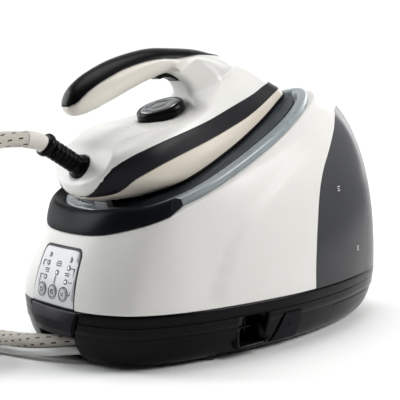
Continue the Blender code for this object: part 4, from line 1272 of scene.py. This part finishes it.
HOSE_DIAMETER, CABLE_DIAMETER = 13.5, 7.0
HOSE_FROM_IRON = [(-203, 0, 193), (-213, 0, 194.7), (-226, 0, 195.5), (-242, 0, 195),
                  (-262, -1, 190), (-288, -2, 173), (-311, -3, 141), (-327, -4, 105),
                  (-344, -7, 74), (-364.0, -8.6, 56.5)]
HOSE_TO_BASE = [(-338, 132, 7), (-300, 133, 7), (-262, 131.5, 7), (-230, 122, 7),
                (-207, 101, 7.2), (-197, 74, 8), (-194, 47, 10.5), (-190.5, 24, 13.5),
                (-182.5, 6, 14.8), (-171, -5.5, 14.8)]
CABLE_TO_BASE = [(-214.5, 63, 3.8), (-211, 52, 3.8), (-205.5, 36, 4.4), (-199.5, 18, 6.2),
                 (-192, 1, 8.6), (-181.5, -12, 10.3), (-170.5, -22.5, 10.9)]
HOSE_CENTRE, HOSE_RADIUS, HOSE_TURNS = (-386.0, 60.0), 68.0, 2.5
CABLE_CENTRE, CABLE_RADIUS, CABLE_TURNS = (-264.0, 70.0), 40.0, 6.0


def resample(points, spacing):
    """Points evenly spaced on a smooth curve through the route."""
    fine = [Vector(p) for p in spline(points, 24)]
    total = sum((b - a).length for a, b in zip(fine, fine[1:]))
    count = max(2, round(total / spacing))
    step, result, carried = total / count, [fine[0]], 0.0
    for a, b in zip(fine, fine[1:]):
        length = (b - a).length
        while carried + length >= step - 1e-9 and len(result) < count:
            t = (step - carried) / length if length else 0
            a = a.lerp(b, t)
            result.append(a.copy())
            length = (b - a).length
            carried = 0.0
        carried += length
    result.append(fine[-1])
    return result


def tube(name, route, diameter, colour, sides=20, spacing=2.5):
    """A mesh tube along a route, with a UV map of turns and metres along it."""
    points = resample(route, spacing)
    circle = disc(0, 0, diameter / 2, sides)
    builder = bmesh.new()
    layer = builder.loops.layers.uv.new("along")
    rows, lengths, along = [], [], 0.0
    side = (points[1] - points[0]).orthogonal()
    for index, point in enumerate(points):
        ahead = (points[min(index + 1, len(points) - 1)] - points[max(index - 1, 0)]).normalized()
        side = (side - ahead * side.dot(ahead)).normalized()
        other = ahead.cross(side)
        if index:
            along += (point - points[index - 1]).length
        rows.append([builder.verts.new(point + side * a + other * b) for a, b in circle])
        lengths.append(along * MM)
    for index in range(len(rows) - 1):
        for k in range(sides):
            after = (k + 1) % sides
            face = builder.faces.new((rows[index][k], rows[index][after],
                                      rows[index + 1][after], rows[index + 1][k]))
            for loop, (u, v) in zip(face.loops, ((k, index), (k + 1, index),
                                                 (k + 1, index + 1), (k, index + 1))):
                loop[layer].uv = (u / sides, lengths[v])
    builder.faces.new(rows[0][::-1])
    builder.faces.new(rows[-1])
    return new_piece(name, builder, colour, angle=60), points, along


def hose_route(steps=40):
    """The hose from the guard over and down to its coil, round the coil and to the station."""
    route = list(HOSE_FROM_IRON)
    cx, cy = HOSE_CENTRE
    level = HOSE_DIAMETER / 2 + 0.3
    top = level + HOSE_DIAMETER * 2.52
    for k in range(steps + 1):
        share = k / steps
        angle = -math.pi / 2 - share * 2 * math.pi * HOSE_TURNS
        height = top + 12.0 * max(0.0, 1 - share * 12) ** 2 - share * (top - level)
        route.append((cx + HOSE_RADIUS * math.cos(angle), cy + HOSE_RADIUS * math.sin(angle),
                      max(level, height)))
    return route + [(-362, 131.5, level)] + [(x, y, max(z, level)) for x, y, z in HOSE_TO_BASE]


def make_hose():
    """The braided hose from the iron's guard over its coil to the station, and its cuff in the
    guard.
    """
    hose, points, length = tube("steam_hose", hose_route(), HOSE_DIAMETER, "hose")
    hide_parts("steam_hose_at_iron", "steam_hose_at_base", "steam_hose_coil")
    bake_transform(hose)
    cuff = tube("hose_end_cuff", [(-198.5, 0, 190.2), (-203, 0, 192.7), (-209, 0, 194.2),
                                  (-216, 0, 195.2)],
                HOSE_DIAMETER + 1.4, "cuff", sides=40, spacing=1.5)[0]
    rounded(cuff, 0.6, 3, 50)
    done(cuff, "iron", "hose")
    return hose, points, length, cuff


def cable_route(steps=96):
    """The lead's coil, from its top turn down: the turns lie inside and outside by turns."""
    cx, cy = CABLE_CENTRE
    d = CABLE_DIAMETER
    inner, outer = CABLE_RADIUS - d / 2, CABLE_RADIUS + d / 2
    end_x, end_y = CABLE_TO_BASE[0][:2]
    end_angle = math.atan2(end_y - cy, end_x - cx)
    route = []
    for k in range(steps + 1):
        share = k / steps
        angle = end_angle + (1 - share) * 2 * math.pi * CABLE_TURNS
        phase = share * CABLE_TURNS % 2
        blend = smooth_step(0.85, 1.0, phase) if phase < 1 else 1 - smooth_step(1.85, 2.0, phase)
        radius = outer if share > 0.985 else inner + d * blend
        route.append((cx + radius * math.cos(angle), cy + radius * math.sin(angle),
                      d / 2 + 0.3 + (1 - share) * d * 2.75))
    return route


def make_cable():
    route = cable_route() + CABLE_TO_BASE[1:]
    cable, points, length = tube("mains_lead", route, CABLE_DIAMETER, "cable", sides=16)
    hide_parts("mains_cable", "mains_cable_coil")
    done(cable, "base", "grey")
    return cable, points, length


def make_plug(power=0.55):
    """The plug, whose slices are rounded boxes, and its two pins."""
    x, y = CABLE_CENTRE
    middle = 4 * CABLE_DIAMETER + 7.4
    levels = []
    for along, half_y, half_z in ((22, 3.6, 3.6), (16, 4.2, 4.0), (10, 6.4, 5.0), (2, 10.2, 6.4),
                                  (-8, 11.8, 6.9), (-16, 12.0, 7.0), (-18, 11.4, 6.6)):
        levels.append([(x + along, y + 36 + half_y * math.copysign(abs(a) ** power, a),
                        middle + half_z * math.copysign(abs(b) ** power, b))
                       for a, b in disc(0, 0, 1, 32)])
    plug = loft("plug", levels, "cable", angle=60)
    pins = [turned(f"plug_pin_{name}", [(2.4, 0), (2.4, 17.4), (2.0, 18.6), (1.0, 19)],
                   (x - 17, y + 36 + out, middle), (-1, 0, 0), "steel", sides=24)
            for name, out in (("a", -9.5), ("b", 9.5))]
    for pin in pins:
        done(pin, "base", "steel")
    done(plug, "base", "grey", "mains_plug")
    return [plug, *pins]


def finish_hidden_nodes():
    """CAD nodes whose shape stays get procedural finishes."""
    finishes = {row["node"]: row["material_slot"] for row in frame["record"]["subparts"]}
    for name, node in frame["nodes"].items():
        if not node.hide_render:
            node.data.materials.clear()
            node.data.materials.append(MATERIALS[finishes.get(name, "grey")])


camera_and_light()
hose, hose_points, hose_length, cuff = make_hose()
cable, cable_points, cable_length = make_cable()
plug_and_pins = make_plug()
make_lower_housing()
make_clip()
make_shell()
make_tank()
make_level_marks()
make_saddle()
make_tray()
make_panel()
make_cover()
make_sole()
make_skirt()
make_band()
make_upper_body()
make_handle()
make_dial()
make_guard()
finish_hidden_nodes()
